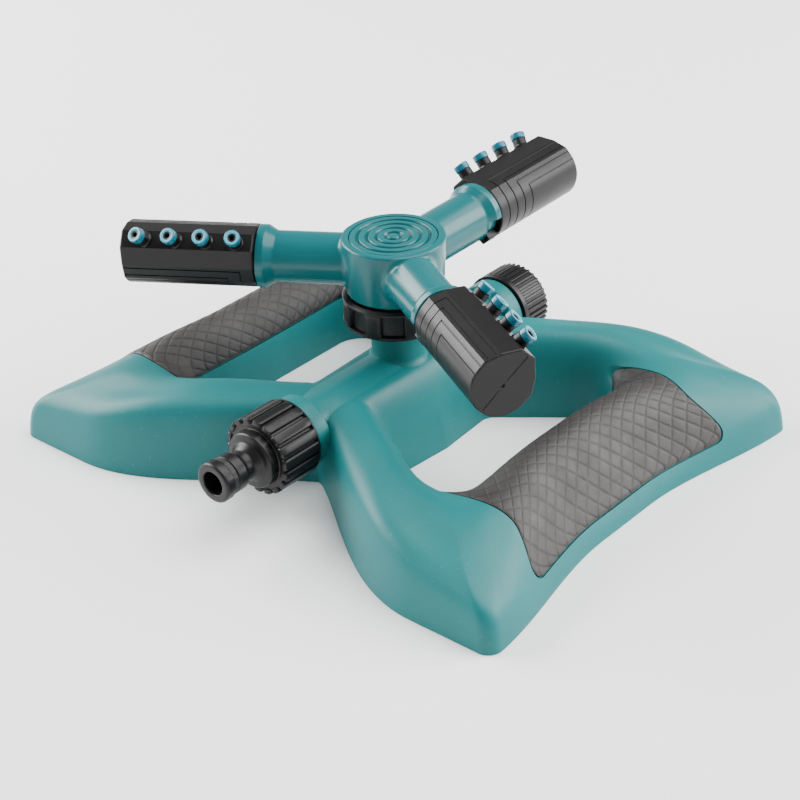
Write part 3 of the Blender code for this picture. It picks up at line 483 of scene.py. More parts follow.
def turned(name: str, corners: Sequence[Corner], sides: int, finish: Finish, closed: bool = False,
           steps: int = 5, angle: float = SHARP, place: Matrix = Matrix()) -> Object:
    """A piece turned about Z, with rounded corners.

    Args:
        name: the piece's name.
        corners: radius, height and rounding of each corner of its profile.
        sides: sides round it.
        finish: its finish.
        closed: whether the profile's last corner joins the first.
        steps: segments in each round.
        angle: edges sharper than this many degrees stay sharp.
        place: where the mesh goes.

    Returns:
        The piece.
    """
    solid = Solid()
    solid.turned(rounded(corners, closed, steps), sides)
    return solid.object(name, [finish], angle, place)


def along_y(y: float, z: float, way: float) -> Matrix:
    """The frame of a piece turned about the barrel's axis, with its own Z towards +Y or -Y."""
    return Matrix.Translation((0.0, y, z)) @ Matrix.Rotation(-way * QUARTER, 4, "X")


def ease(value: float) -> float:
    """A smooth step from 0 to 1."""
    value = min(1.0, max(0.0, value))
    return value * value * (3.0 - 2.0 * value)


def combine(operation: str, piece: Object, *others: Object, angle: float = SHARP) -> None:
    """Joins closed meshes to a piece, or cuts them from it, and removes them.

    Args:
        operation: UNION or DIFFERENCE.
        piece: the piece.
        others: what is joined to it or cut from it.
        angle: edges sharper than this many degrees stay sharp.
    """
    for other in others:
        modifier = piece.modifiers.new("combine", "BOOLEAN")
        modifier.operation = operation
        modifier.solver = "MANIFOLD"
        modifier.object = other
        apply_modifiers(piece)
        bpy.data.objects.remove(other, do_unlink=True)
    shade(piece, angle)


def mirrored(piece: Object, name: str) -> Object:
    """A copy of a piece on the other side of the YZ plane."""
    bm = bmesh.new()
    bm.from_mesh(piece.data)
    bmesh.ops.transform(bm, matrix=Matrix.Scale(-1.0, 4, (1.0, 0.0, 0.0)), verts=bm.verts)
    bmesh.ops.reverse_faces(bm, faces=bm.faces)
    mesh = piece.data.copy()
    bm.to_mesh(mesh)
    bm.free()
    mesh.name = name
    copy = bpy.data.objects.new(name, mesh)
    bpy.context.scene.collection.objects.link(copy)
    return copy


def hand_over(piece: Object, node: str, body: str) -> Object:
    """Lets a piece stand for a solid of the frame.

    Args:
        piece: the piece.
        node: the solid that it replaces.
        body: the body that it moves with.

    Returns:
        The piece.
    """
    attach(piece, body)
    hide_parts(node)
    return piece


def apply_modifiers(piece: Object) -> Object:
    """Turns a piece's evaluated shape into its own plain mesh."""
    bpy.context.view_layer.update()
    graph = bpy.context.evaluated_depsgraph_get()
    mesh = bpy.data.meshes.new_from_object(piece.evaluated_get(graph))
    piece.modifiers.clear()
    old = piece.data
    piece.data = mesh
    mesh.name = piece.name
    bpy.data.meshes.remove(old)
    return piece


def joined(name: str, pieces: Sequence[Object], angle: float = SHARP) -> Object:
    """Several pieces of one finish made one, and shaded by an angle in degrees."""
    bm = bmesh.new()
    for piece in pieces:
        bm.from_mesh(piece.data)
    mesh = bpy.data.meshes.new(name)
    bm.to_mesh(mesh)
    bm.free()
    mesh.materials.append(pieces[0].data.materials[0])
    for piece in pieces:
        bpy.data.objects.remove(piece, do_unlink=True)
    return linked(name, mesh, angle)


# --- Geometry Nodes ---------------------------------------------------------------------------------
class GeometryTree(NodeTree):
    """A Geometry Nodes tree with named inputs, which a modifier runs on a piece."""

    def __init__(self, name: str, inputs: dict[str, tuple[str, Any]]) -> None:
        """Starts the tree.

        Args:
            name: its name.
            inputs: socket type and default of each named input.
        """
        super().__init__(bpy.data.node_groups.new(name, "GeometryNodeTree"))
        face = self.tree.interface
        face.new_socket("Geometry", in_out="INPUT", socket_type="NodeSocketGeometry")
        face.new_socket("Geometry", in_out="OUTPUT", socket_type="NodeSocketGeometry")
        self.keys: dict[str, str] = {}
        for title, (kind, default) in inputs.items():
            socket = face.new_socket(title, in_out="INPUT", socket_type=kind)
            if default is not None:
                socket.default_value = default
            self.keys[title] = socket.identifier
        self.source = self.tree.nodes.new("NodeGroupInput")
        self.sink = self.tree.nodes.new("NodeGroupOutput")

    def given(self, title: str) -> Value:
        """A named input."""
        return Value(self, self.source.outputs[title])

    def line(self) -> Value:
        """As many points as the input Count, all at the origin."""
        return self.node("GeometryNodeMeshLine", {"mode": "OFFSET"},
                         {"Count": self.given("Count"), "Start Location": (0.0, 0.0, 0.0),
                          "Offset": (0.0, 0.0, 0.0)})

    def copies(self, points: Value, turn: Value) -> Value:
        """Copies of the piece on points, turned by Euler angles."""
        return self.node("GeometryNodeInstanceOnPoints", None,
                         {"Points": points, "Instance": self.given("Geometry"), "Rotation": turn})

    def end(self, geometry: Value) -> None:
        """Closes the tree with Realize Instances and Set Material, on what the tree made."""
        real = self.node("GeometryNodeRealizeInstances", None, {"Geometry": geometry})
        self.put(self.sink.inputs["Geometry"],
                 self.node("GeometryNodeSetMaterial", None,
                           {"Geometry": real, "Material": self.given("Material")}))

    def run(self, piece: Object, values: dict[str, Any]) -> Object:
        """Runs the tree on a piece, with a value for each named input, and keeps the result as its mesh."""
        modifier = piece.modifiers.new(self.tree.name, "NODES")
        modifier.node_group = self.tree
        for title, value in values.items():
            modifier[self.keys[title]] = value
        return apply_modifiers(piece)


# --- Base -------------------------------------------------------------------------------------------
@dataclass
class BaseShell:
    """The hollow butterfly base, its water barrel and the riser.

    Args:
        half_width: from the rotor's axis to the wings' corners.
        half_depth: from the rotor's axis to the front and rear edges.
        waist_depth: how far the outer edges draw in at mid length.
        waist_flat: half length of the straight stretch at the waist.
        notch_y: where the two wings meet under the barrel.
        front_run: X over which the front edge swings out from the notch.
        corner_radius: the wings' corners, in plan.
        wall: the wall's thickness.
        hole_inner_x: the hand hole's side next to the barrel.
        hole_outer_x: the hand hole's side next to the grip.
        hole_inner_y: half length of the hole next to the barrel.
        hole_knee: where the hole's slanted side ends.
        hole_outer_y: half length of the hole next to the grip.
        hole_rounds: the rounds of its outer corner, its knee and its inner corner.
        hole_bow: how far its inner side bows out in the middle.
        overlap: how far each wing passes the middle, so that the two join.
        wing_top: crest of the front and rear arms.
        grip_top: crest of the outer bars.
        crease: height of the rounded edge between front wall and top.
        lip: height of the upright lip along the outer edges.
        tip_blend: how far a corner has taken on the arm's section where the two meet.
        counts: stations along bar, corner, arm and hub.
        smoothing: how many stations the sections are evened out over.
        pipe_z: the barrel's axis above the ground.
        barrel_radius: its radius.
        barrel_bore: its bore's radius.
        flange_radius: the ring at each end.
        seat_y: outer face of each flange.
        flange_width: width of the flanges.
        spigot_radius: the spigots beyond them.
        spigot_length: their length.
        riser_radius: the upright neck.
        skirt: radius of the flare at the neck's foot.
        foot: radius of the column under it.
        lift: radius of the water way up the riser.
        collar_radius: the collar that carries the nut.
        collar_low: the collar's underside.
        collar_high: its top.
        blend: size of the saddle between wings and barrel.
        saddle_x: its half width.
        saddle_y: its half length, at which its size has faded to nothing.
        saddle_full: half length over which it has its full size.
    """

    half_width: float = 0.1215
    half_depth: float = 0.0950
    waist_depth: float = 0.0115
    waist_flat: float = 0.0150
    notch_y: float = 0.0490
    front_run: float = 0.0850
    corner_radius: float = 0.0060
    wall: float = 0.0026
    hole_inner_x: float = 0.0215
    hole_outer_x: float = 0.0683
    hole_inner_y: float = 0.0280
    hole_knee: tuple[float, float] = (0.0500, 0.0495)
    hole_outer_y: float = 0.0505
    hole_rounds: tuple[float, float, float] = (0.0120, 0.0140, 0.0060)
    hole_bow: float = 0.0020
    overlap: float = 0.0020
    wing_top: float = 0.0345
    grip_top: float = 0.0320
    crease: float = 0.0300
    lip: float = 0.0040
    tip_blend: float = 0.25
    counts: tuple[int, int, int, int] = (40, 16, 54, 20)
    smoothing: int = 5
    pipe_z: float = 0.0277
    barrel_radius: float = 0.0100
    barrel_bore: float = 0.0060
    flange_radius: float = 0.0140
    seat_y: float = 0.0620
    flange_width: float = 0.0072
    spigot_radius: float = 0.0118
    spigot_length: float = 0.0110
    riser_radius: float = 0.0105
    skirt: float = 0.0138
    foot: float = 0.0090
    lift: float = 0.0050
    collar_radius: float = 0.0155
    collar_low: float = 0.0510
    collar_high: float = 0.0585
    blend: float = 0.0040
    saddle_x: float = 0.0150
    saddle_y: float = 0.0530
    saddle_full: float = 0.0400

    def outer_x(self, y: float) -> float:
        """X of the outer edge at a Y."""
        run = (abs(y) - self.waist_flat) / (self.half_depth - self.waist_flat)
        return self.half_width - self.waist_depth * (1.0 - ease(run))

    def front_y(self, x: float) -> float:
        """Y of the front edge at an X."""
        run = min(1.0, max(0.0, x) / self.front_run) ** 1.15
        return -(self.notch_y + (self.half_depth - self.notch_y) * math.sin(run * math.pi / 2.0))

    @staticmethod
    def fillet(before: Sequence[float], corner: Sequence[float], after: Sequence[float], radius: float,
               steps: int) -> list[Vector]:
        """Points of the round that replaces a corner.

        Args:
            before: a point before the corner.
            corner: the corner.
            after: a point after it.
            radius: the round's radius.
            steps: its segments.

        Returns:
            The points.
        """
        middle = Vector(corner)
        to_before = (Vector(before) - middle).normalized()
        to_after = (Vector(after) - middle).normalized()
        half = to_before.angle(to_after) / 2.0
        start = middle + to_before * radius / math.tan(half)
        end = middle + to_after * radius / math.tan(half)
        centre = middle + (to_before + to_after).normalized() * radius / math.sin(half)
        sweep = (start - centre).angle_signed(end - centre)
        return [centre + Matrix.Rotation(-sweep * step / steps, 2) @ (start - centre)
                for step in range(steps + 1)]

    @staticmethod
    def resample(points: Sequence[Sequence[float]], count: int, ends: bool = True) -> list[Vector]:
        """Points evenly spaced along a polyline, with or without its last."""
        line = np.array([tuple(point) for point in points])
        along = np.concatenate([[0.0], np.cumsum(np.linalg.norm(np.diff(line, axis=0), axis=1))])
        wanted = np.linspace(0.0, along[-1], count + 1)
        even = [Vector((np.interp(at, along, line[:, 0]), np.interp(at, along, line[:, 1])))
                for at in wanted]
        return even if ends else even[:-1]

    @cached_property
    def stations(self) -> list[tuple[str, float, Vector, Vector]]:
        """Matched points round the outer edge and the hand hole of the +X wing, from the middle of the
        outer bar to the front, each with its stretch and how far along that it is."""
        corner_y = self.corner_radius - self.half_depth
        bar = [(self.outer_x(corner_y * step / 60), corner_y * step / 60) for step in range(61)]
        corner_x = self.half_width - self.corner_radius
        corner = self.fillet(bar[-1], (self.half_width, -self.half_depth), (corner_x, -self.half_depth),
                             self.corner_radius * 0.98, 16)
        front = [(corner_x * (1 - step / 96), self.front_y(corner_x * (1 - step / 96)))
                 for step in range(97)]
        hub = [(-self.overlap, -self.notch_y), (-self.overlap, 0.0)]
        knee_at = (self.hole_knee[0], -self.hole_knee[1])
        inner_at = (self.hole_inner_x, -self.hole_inner_y)
        outer_corner = self.fillet((self.hole_outer_x, 0.0), (self.hole_outer_x, -self.hole_outer_y),
                                   knee_at, self.hole_rounds[0], 20)
        inner_corner = self.fillet(knee_at, inner_at, (self.hole_inner_x, 0.0), self.hole_rounds[2], 16)
        knee = self.fillet(outer_corner[-1], knee_at, inner_corner[0], self.hole_rounds[1], 12)
        half = len(inner_corner) // 2
        hole_bar = [Vector((self.hole_outer_x, 0.0)), outer_corner[0]]
        hole_arm = [*knee, *inner_corner[:half + 1]]
        hole_hub = [*inner_corner[half:], Vector((self.hole_inner_x + self.hole_bow, 0.0))]
        found = []
        names = ("bar", "corner", "arm", "hub")
        lines = zip(names, self.counts, (bar, corner, front, hub),
                    (hole_bar, outer_corner, hole_arm, hole_hub))
        for name, count, outer, hole in lines:
            last = name == "hub"
            pairs = zip(self.resample(outer, count, last), self.resample(hole, count, last))
            found += [(name, index / count, *pair) for index, pair in enumerate(pairs)]
        return found

    def controls(self, name: str, share: float) -> list[tuple[float, float]]:
        """Control points of a section: share of the way from the edge to the hole, and height.

        Args:
            name: the stretch.
            share: how far along it.

        Returns:
            The control points.
        """
        low = self.grip_top
        top = self.wing_top
        bar = [(0.00, 0.0), (0.00, self.lip), (0.18, 0.0150), (0.45, low - 0.0010), (0.66, low + 0.0020),
               (0.93, low - 0.0060), (0.99, 0.0130), (1.00, 0.0)]
        tip = [(0.00, 0.0), (0.01, 0.0090), (0.06, 0.0150), (0.33, top - 0.0125), (0.62, top - 0.0030),
               (0.93, low - 0.0060), (0.99, 0.0130), (1.00, 0.0)]
        arm = [(0.00, 0.0), (0.04, 0.0180), (0.07, self.crease + 0.0015), (0.40, top - 0.0010),
               (0.66, top + 0.0015), (0.90, top - 0.0040), (0.98, 0.0150), (1.00, 0.0)]
        hub = [(0.00, 0.0), (0.00, 0.0260), (0.03, top - 0.0010), (0.30, top + 0.0005),
               (0.55, top + 0.0010), (0.74, top - 0.0030), (0.90, 0.0160), (1.00, 0.0)]
        first, second = {"bar": (bar, tip), "corner": (tip, arm), "arm": (arm, hub),
                         "hub": (hub, hub)}[name]
        blend = {"bar": ease((share - 0.55) / 0.45), "corner": self.tip_blend * ease(share),
                 "arm": ease((share - 0.5) / 0.5), "hub": 1.0}[name]
        if name == "arm":
            part = self.tip_blend + (1.0 - self.tip_blend) * ease(share / 0.5)
            first = [tuple(a + part * (b - a) for a, b in zip(*pair)) for pair in zip(tip, arm)]
        return [tuple(a + blend * (b - a) for a, b in zip(*pair)) for pair in zip(first, second)]

    @staticmethod
    def spline(controls: np.ndarray, count: int) -> np.ndarray:
        """Points of the clamped uniform cubic B-spline, evenly spaced along its parameter."""
        spans = len(controls) - 3
        knots = [0.0] * 4 + [float(k) for k in range(1, spans)] + [float(spans)] * 4
        result = []
        for index in range(count):
            u = min(index / (count - 1) * spans, spans - 1e-9)
            span = int(u) + 3
            work = [controls[span - 3 + j] for j in range(4)]
            for level in range(1, 4):
                for j in range(3, level - 1, -1):
                    low = knots[j + span - 3]
                    share = (u - low) / (knots[j + 1 + span - level] - low)
                    work[j] = work[j - 1] + share * (work[j] - work[j - 1])
            result.append(work[3])
        return np.array(result)

    def softened(self, shapes: np.ndarray) -> np.ndarray:
        """Control points of the sections, evened out from one station to the next.

        Args:
            shapes: the control points, as stations by points by 2.

        Returns:
            The same, with each a weighted mean over its neighbours.
        """
        reach = self.smoothing * 3
        steps = np.arange(-reach, reach + 1)
        weights = np.exp(-0.5 * (steps / self.smoothing) ** 2)
        weights /= weights.sum()
        padded = np.concatenate([shapes[reach:0:-1], shapes, shapes[-2:-reach - 2:-1]])
        return sum(weight * padded[step:step + len(shapes)] for step, weight in enumerate(weights))

    def rows(self, count: int, offset: float = 0.0) -> np.ndarray:
        """Rows of points over the +X wing, all the way round, each from the outer edge to the hole.

        Args:
            count: points in a row.
            offset: how far they are moved into the wall.

        Returns:
            The points, as rows by columns by 3.
        """
        front = []
        shapes = self.softened(np.array([self.controls(name, share)
                                         for name, share, _, _ in self.stations]))
        for shape, (name, share, edge, inside) in zip(shapes, self.stations):
            across = inside - edge
            width = across.length
            curve = self.spline(shape * (width, 1.0), count)
            tangent = np.gradient(curve, axis=0)
            tangent /= np.linalg.norm(tangent, axis=1)[:, None]
            curve = curve + np.stack([tangent[:, 1], -tangent[:, 0]], axis=1) * offset
            way = across.normalized()
            row = np.stack([edge.x + way.x * curve[:, 0], edge.y + way.y * curve[:, 0], curve[:, 1]],
                           axis=1)
            row[0, 2] = 0.0010 if name == "hub" else 0.0
            row[-1, 2] = 0.0
            front.append(row)
        whole = np.array(front)
        return np.concatenate([whole, whole[-2:0:-1] * (1.0, -1.0, 1.0)])

    def wing(self) -> Object:
        """The +X wing as a hollow band."""
        outside = self.rows(60)
        inside = self.rows(24, self.wall)
        solid = Solid()
        solid.grid(np.concatenate([outside, inside[:, ::-1]], axis=1), wrap_rows=True, wrap_columns=True)
        return solid.object("wing_right", [Finish.BASE_TEAL])

    def barrel(self) -> Object:
        """The barrel with its flanges and spigots, along Y."""
        seat = self.seat_y
        near = seat - self.flange_width
        end = seat + self.spigot_length
        half = [(0.0, end, 0.0), (self.spigot_radius, end, 0.0010), (self.spigot_radius, seat, 0.0004),
                (self.flange_radius, seat, 0.0012), (self.flange_radius, near, 0.0012),
                (self.barrel_radius, near, 0.0014)]
        corners = half + [(radius, -y, size) for radius, y, size in half[::-1]]
        return turned("barrel", corners, EVEN, Finish.BASE_TEAL, place=along_y(0.0, self.pipe_z, -1.0))

    def riser(self) -> Object:
        """The foot column, the flared neck and the collar that carries the nut."""
        crest = self.pipe_z + self.barrel_radius
        corners = [
            (0.0, self.collar_high, 0.0), (self.collar_radius, self.collar_high, 0.0006),
            (self.collar_radius, self.collar_low, 0.0004), (self.riser_radius, self.collar_low, 0.0010),
            (self.riser_radius, crest - 0.0016, 0.0042), (self.skirt, crest - 0.0043, 0.0010),
            (self.skirt, self.pipe_z, 0.0), (self.foot, self.pipe_z - 0.0040, 0.0),
            (self.foot, 0.0, 0.0004), (0.0, 0.0, 0.0)]
        return turned("riser", corners, EVEN, Finish.BASE_TEAL, steps=8)

    def saddle(self, wings: Object) -> Object:
        """The smooth hollow between the wings and the barrel.

        Args:
            wings: both wings as one piece.

        Returns:
            A closed slab whose top is a blend of the two.
        """
        mesh = wings.data
        tree = BVHTree.FromPolygons([vertex.co for vertex in mesh.vertices],
                                    [tuple(polygon.vertices) for polygon in mesh.polygons])
        across = np.linspace(-self.saddle_x, self.saddle_x, 61)
        along = np.linspace(-self.saddle_y, self.saddle_y, 107)
        top = np.zeros((len(along), len(across), 3))
        for row, y in enumerate(along):
            size = self.blend * (1.0 - ease((abs(y) - self.saddle_full) / (self.saddle_y - self.saddle_full)))
            size += 0.00001
            for column, x in enumerate(across):
                hit = tree.ray_cast(Vector((x, y, 0.1)), Vector((0.0, 0.0, -1.0)))[0]
                wing = hit.z if hit else 0.0200
                bow = self.barrel_radius ** 2 - x * x
                pipe = self.pipe_z + (math.sqrt(bow) if bow > 0.0 else -4.0 * (abs(x) - self.barrel_radius))
                near = max(0.0, size - abs(wing - pipe)) / size
                top[row, column] = (x, y, max(wing, pipe) + near * near * size / 4.0 - 0.00004)
        bottom = top.copy()
        bottom[:, :, 2] = np.minimum(top[:, :, 2] - 0.0015, self.pipe_z)
        solid = Solid()
        solid.slab(top, bottom)
        return solid.object("saddle", [Finish.BASE_TEAL])

    def build(self, seats: Sequence[Object]) -> Object:
        """Builds the base.

        Args:
            seats: the closed shapes of the grips' seats.

        Returns:
            The piece.
        """
        wing = self.wing()
        combine("UNION", wing, mirrored(wing, "wing_left"))
        combine("UNION", wing, self.barrel(), self.riser(), self.saddle(wing))
        end = self.seat_y + self.spigot_length + 0.001
        high = self.collar_high + 0.001
        water = turned("water", [(0.0, end, 0.0), (self.barrel_bore, end, 0.0),
                                 (self.barrel_bore, -end, 0.0), (0.0, -end, 0.0)], COARSE,
                       Finish.BASE_TEAL, place=along_y(0.0, self.pipe_z, -1.0))
        lift = turned("lift", [(0.0, high, 0.0), (self.lift, high, 0.0), (self.lift, self.pipe_z, 0.0),
                               (0.0, self.pipe_z, 0.0)], 48, Finish.BASE_TEAL)
        combine("DIFFERENCE", wing, *seats, water, lift, angle=28.0)
        wing.name = "base_body"
        return hand_over(wing, "base_shell", "base")


# --- Grips ------------------------------------------------------------------------------------------
@dataclass
class Grip:
    """The rubber grip that wraps an outer bar, with a lattice of grooves.

    Args:
        base: the base that it lies on.
        first: its outer edge, as a share across the wing's section.
        last: its inner edge, likewise.
        proud: how far it stands above the base.
        recess: how deep its seat is.
        gap: the thin line of shadow round it.
        over: how far the seat's cutter stands above the grip.
        under: how far it goes below the grip's underside.
        end_outer: half length along its outer edge.
        end_middle: half length along its middle.
        end_inner: half length along its inner edge.
        outer_round: rounding of its outer corners.
        inner_round: rounding of its inner corners.
        width: its width over the bar.
        fine: steps across the wing's section that it is laid on.
        across: steps across it.
        along: steps along it.
        cell: steps from one groove to the next.
        groove: the grooves' depth.
        pillow: how much each diamond swells.
    """

    base: BaseShell
    first: float = 2.1 / 18.0
    last: float = 15.4 / 18.0
    proud: float = 0.0005
    recess: float = 0.0011
    gap: float = 0.0006
    over: float = 0.0015
    under: float = 0.0003
    end_outer: float = 0.0600
    end_middle: float = 0.0540
    end_inner: float = 0.0560
    outer_round: float = 0.0050
    inner_round: float = 0.0085
    width: float = 0.0450
    fine: int = 180
    across: int = 128
    along: int = 256
    cell: int = 16
    groove: float = 0.00036
    pillow: float = 0.00007

    def reach(self, across: float) -> float:
        """Half length of the grip at a share across it."""
        if across < 0.4:
            half = self.end_outer + (self.end_middle - self.end_outer) * ease(across / 0.4)
        else:
            half = self.end_middle + (self.end_inner - self.end_middle) * ease((across - 0.4) / 0.4)
        for share, size in ((across, self.outer_round), (1.0 - across, self.inner_round)):
            short = max(0.0, size - share * self.width)
            half -= size - math.sqrt(size ** 2 - short ** 2)
        return half

    def layer(self, offset: float, grow: float = 0.0) -> np.ndarray:
        """A grid of points over the outer bar.

        Args:
            offset: how far it lies under the surface.
            grow: how far it reaches beyond the grip's outline.

        Returns:
            The points, across by along by 3.
        """
        fine = self.base.rows(self.fine + 1, offset)
        half = fine[:len(fine) // 2]
        rows = np.concatenate([half[:0:-1] * (1.0, -1.0, 1.0), half])
        width = np.linalg.norm(np.diff(rows[len(half)], axis=0), axis=1).sum()
        low = self.first - grow / width
        high = self.last + grow / width
        grid = []
        for index in range(self.across + 1):
            share = index / self.across
            place = (low + (high - low) * share) * self.fine
            step = int(place)
            column = rows[:, step] + (place - step) * (rows[:, step + 1] - rows[:, step])
            reach = self.reach(share) + grow
            wanted = np.linspace(-reach, reach, self.along + 1)
            turn = int(np.argmax(np.diff(column[len(half) - 1:, 1]) >= 0.0)) or len(half) - 1
            line = column[len(half) - 1 - turn:len(half) + turn][::-1]
            grid.append(np.stack([np.interp(wanted, line[:, 1], line[:, 0]), wanted,
                                  np.interp(wanted, line[:, 1], line[:, 2])], axis=1))
        return np.array(grid)

    def slab(self, top: np.ndarray, bottom: np.ndarray, name: str, finish: Finish,
             round_over: float = 0.0) -> Object:
        """A closed solid between two matching grids.

        Args:
            top: the upper grid.
            bottom: the lower grid.
            name: the piece's name.
            finish: its finish.
            round_over: how far its upper edge is rounded.

        Returns:
            The piece, with each top point's step across and along stored on it.
        """
        if round_over > 0.0:
            index = np.indices(top.shape[:2])
            high, wide = top.shape[0] - 1, top.shape[1] - 1
            near = np.minimum(np.minimum(index[0], high - index[0]), np.minimum(index[1], wide - index[1]))
            down = np.clip(1.0 - near / 3.0, 0.0, 1.0) ** 2 * round_over
            way = bottom - top
            way /= np.linalg.norm(way, axis=2)[:, :, None]
            top = top + way * down[:, :, None]
        solid = Solid()
        solid.slab(top, bottom)
        mesh = bpy.data.meshes.new(name)
        points = np.concatenate(solid.points)
        mesh.from_pydata(points.tolist(), [], solid.faces)
        steps = np.full((len(points), 3), -1.0)
        index = np.indices(top.shape[:2]).reshape(2, -1).T
        steps[:len(index), :2] = index
        steps[:len(index), 2] = 1.0
        mesh.attributes.new("step", "FLOAT_VECTOR", "POINT").data.foreach_set("vector", steps.ravel())
        bm = bmesh.new()
        bm.from_mesh(mesh)
        bmesh.ops.remove_doubles(bm, verts=bm.verts, dist=MERGE)
        bmesh.ops.recalc_face_normals(bm, faces=bm.faces)
        bm.to_mesh(mesh)
        bm.free()
        mesh.materials.append(Paint.of(finish))
        return linked(name, mesh, 40.0)

    def seat(self) -> Object:
        """The closed shape that is cut from the base under the grip, with every other step along it."""
        top = self.layer(-self.proud, self.gap)
        bottom = self.layer(self.recess, self.gap)
        way = top - bottom
        way /= np.linalg.norm(way, axis=2)[:, :, None]
        thinned = [(top + way * self.over)[:, ::2], (bottom - way * self.under)[:, ::2]]
        return self.slab(*thinned, "grip_seat", Finish.BASE_TEAL)

    def lattice(self) -> GeometryTree:
        """A tree that presses crossed grooves into the top and swells the diamonds between them."""
        tree = GeometryTree("GripLattice", {
            "Cell": ("NodeSocketFloat", 12.0), "Groove": ("NodeSocketFloat", 0.0003),
            "Pillow": ("NodeSocketFloat", 0.0001), "Material": ("NodeSocketMaterial", None)})
        step = tree.node("GeometryNodeInputNamedAttribute", {"data_type": "FLOAT_VECTOR"},
                         {"Name": "step"})
        u, v, level = (tree.node("ShaderNodeSeparateXYZ", None, {"Vector": step}, output=axis)
                       for axis in "XYZ")
        on_top = tree.math("MAXIMUM", level, 0.0)
        half = tree.given("Cell") * 0.5
        near = tree.math("MINIMUM", tree.math("PINGPONG", u + v, half),
                         tree.math("PINGPONG", u + tree.given("Cell") * 40.0 - v, half))

        def risen(reach: Any, low: float, high: float) -> Value:
            """A smooth change from a groove's middle to some steps away from it."""
            return tree.node("ShaderNodeMapRange", {"interpolation_type": "SMOOTHSTEP"},
                             {"Value": near, "From Min": 0.0, "From Max": reach, "To Min": low,
                              "To Max": high})

        groove_and_shade = risen(1.05, 1.0, 0.0)
        depth = (risen(half, 0.0, 1.0) * tree.given("Pillow") - groove_and_shade * tree.given("Groove")) * on_top
        move = tree.node("ShaderNodeVectorMath", {"operation": "SCALE"},
                         {0: tree.node("GeometryNodeInputNormal"), "Scale": depth})
        shaped = tree.node("GeometryNodeSetPosition", None,
                           {"Geometry": tree.given("Geometry"), "Offset": move})
        # stores the grooves as an attribute, which the grip's material uses to paint shade into them
        dark = tree.node("GeometryNodeStoreNamedAttribute", {"data_type": "FLOAT", "domain": "POINT"},
                         {"Geometry": shaped, "Name": "groove_and_shade", "Value": groove_and_shade * on_top})
        tree.end(dark)
        return tree

    def build(self) -> list[Object]:
        """Builds the +X grip and its mirror image."""
        right = self.slab(self.layer(0.00015 - self.proud), self.layer(self.recess), "grip_skin_right",
                          Finish.GRIP, round_over=0.0004)
        self.lattice().run(right, {"Cell": float(self.cell), "Groove": self.groove,
                                   "Pillow": self.pillow, "Material": Paint.of(Finish.GRIP)})
        shade(right, 40.0)
        pieces = [right, mirrored(right, "grip_skin_left")]
        for piece, node in zip(pieces, ("grip_right", "grip_left")):
            hand_over(piece, node, "base")
        return pieces


# --- Repeats ----------------------------------------------------------------------------------------
def radial_repeat() -> GeometryTree:
    """A tree that sets copies of its input evenly round the Z axis."""
    tree = GeometryTree("RadialRepeat", {"Count": ("NodeSocketInt", 12), "Phase": ("NodeSocketFloat", 0.0),
                                         "Material": ("NodeSocketMaterial", None)})
    share = tree.node("GeometryNodeInputIndex") / tree.given("Count")
    turn = tree.node("ShaderNodeCombineXYZ", None, {"Z": share * math.tau + tree.given("Phase")})
    tree.end(tree.copies(tree.line(), turn))
    return tree


def linear_repeat() -> GeometryTree:
    """A tree that sets copies of its input along X, each leaning further about Y than the last.

    Height is where the copies leave the pad. A leaning copy is pushed out along itself, so that it
    stands as far out of the pad as an upright one.
    """
    tree = GeometryTree("LinearRepeat", {
        "Count": ("NodeSocketInt", 4), "Start": ("NodeSocketFloat", 0.0),
        "Pitch": ("NodeSocketFloat", 0.01), "Lean": ("NodeSocketFloat", 0.0),
        "Height": ("NodeSocketFloat", 0.0), "Material": ("NodeSocketMaterial", None)})
    index = tree.node("GeometryNodeInputIndex")
    angle = index * tree.given("Lean")
    cosine = tree.math("COSINE", angle)
    rise = tree.given("Height") / cosine - tree.given("Height")
    along = tree.given("Start") + index * tree.given("Pitch")
    at = tree.node("ShaderNodeCombineXYZ", None,
                   {"X": along + rise * tree.math("SINE", angle), "Z": rise * cosine})
    spread = tree.node("GeometryNodeSetPosition", None, {"Geometry": tree.line(), "Position": at})
    tree.end(tree.copies(spread, tree.node("ShaderNodeCombineXYZ", None, {"Y": angle})))
    return tree


@dataclass
class Bar:
    """One raised bar on the side of a turned piece, at +X and along Z, with softened edges.

    Args:
        width: its width round the piece.
        low: its lower end.
        high: its upper end.
        inner: radius of its buried side.
        outer: radius of its face.
        soft: size of the softened edges.
    """

    width: float
    low: float
    high: float
    inner: float
    outer: float
    soft: float

    def build(self) -> Object:
        """Builds the bar, closed."""
        half = self.width / 2.0
        turn = min(half, self.soft * 2.5)
        plan = np.array(rounded([(half, self.low, turn), (half, self.high, turn), (-half, self.high, turn),
                                 (-half, self.low, turn)], closed=True, steps=4))
        middle = plan.mean(axis=0)
        rows = []
        for share, radius in ((0.0, self.inner), (0.0, self.outer - self.soft),
                              (0.3, self.outer - self.soft * 0.3), (1.0, self.outer)):
            size = np.maximum(np.abs(plan - middle) - self.soft * share, 0.0)
            flat = size * np.sign(plan - middle) + middle
            depth = np.sqrt(np.maximum(radius ** 2 - flat[:, 0] ** 2, 0.0))
            rows.append(np.stack([depth, flat[:, 0], flat[:, 1]], axis=1))
        core = rows[-1].copy()
        core[:, 1:] = (core[:, 1:] - (0.0, middle[1])) * 0.6 + (0.0, middle[1])
        core[:, 0] = np.sqrt(self.outer ** 2 - core[:, 1] ** 2)
        root, tip = (np.repeat([[radius, 0.0, middle[1]]], len(plan), axis=0)
                     for radius in (self.inner, self.outer))
        solid = Solid()
        solid.grid(np.array([root, *rows, core, tip]), wrap_columns=True)
        return solid.object("bar", [Finish.CHARCOAL])


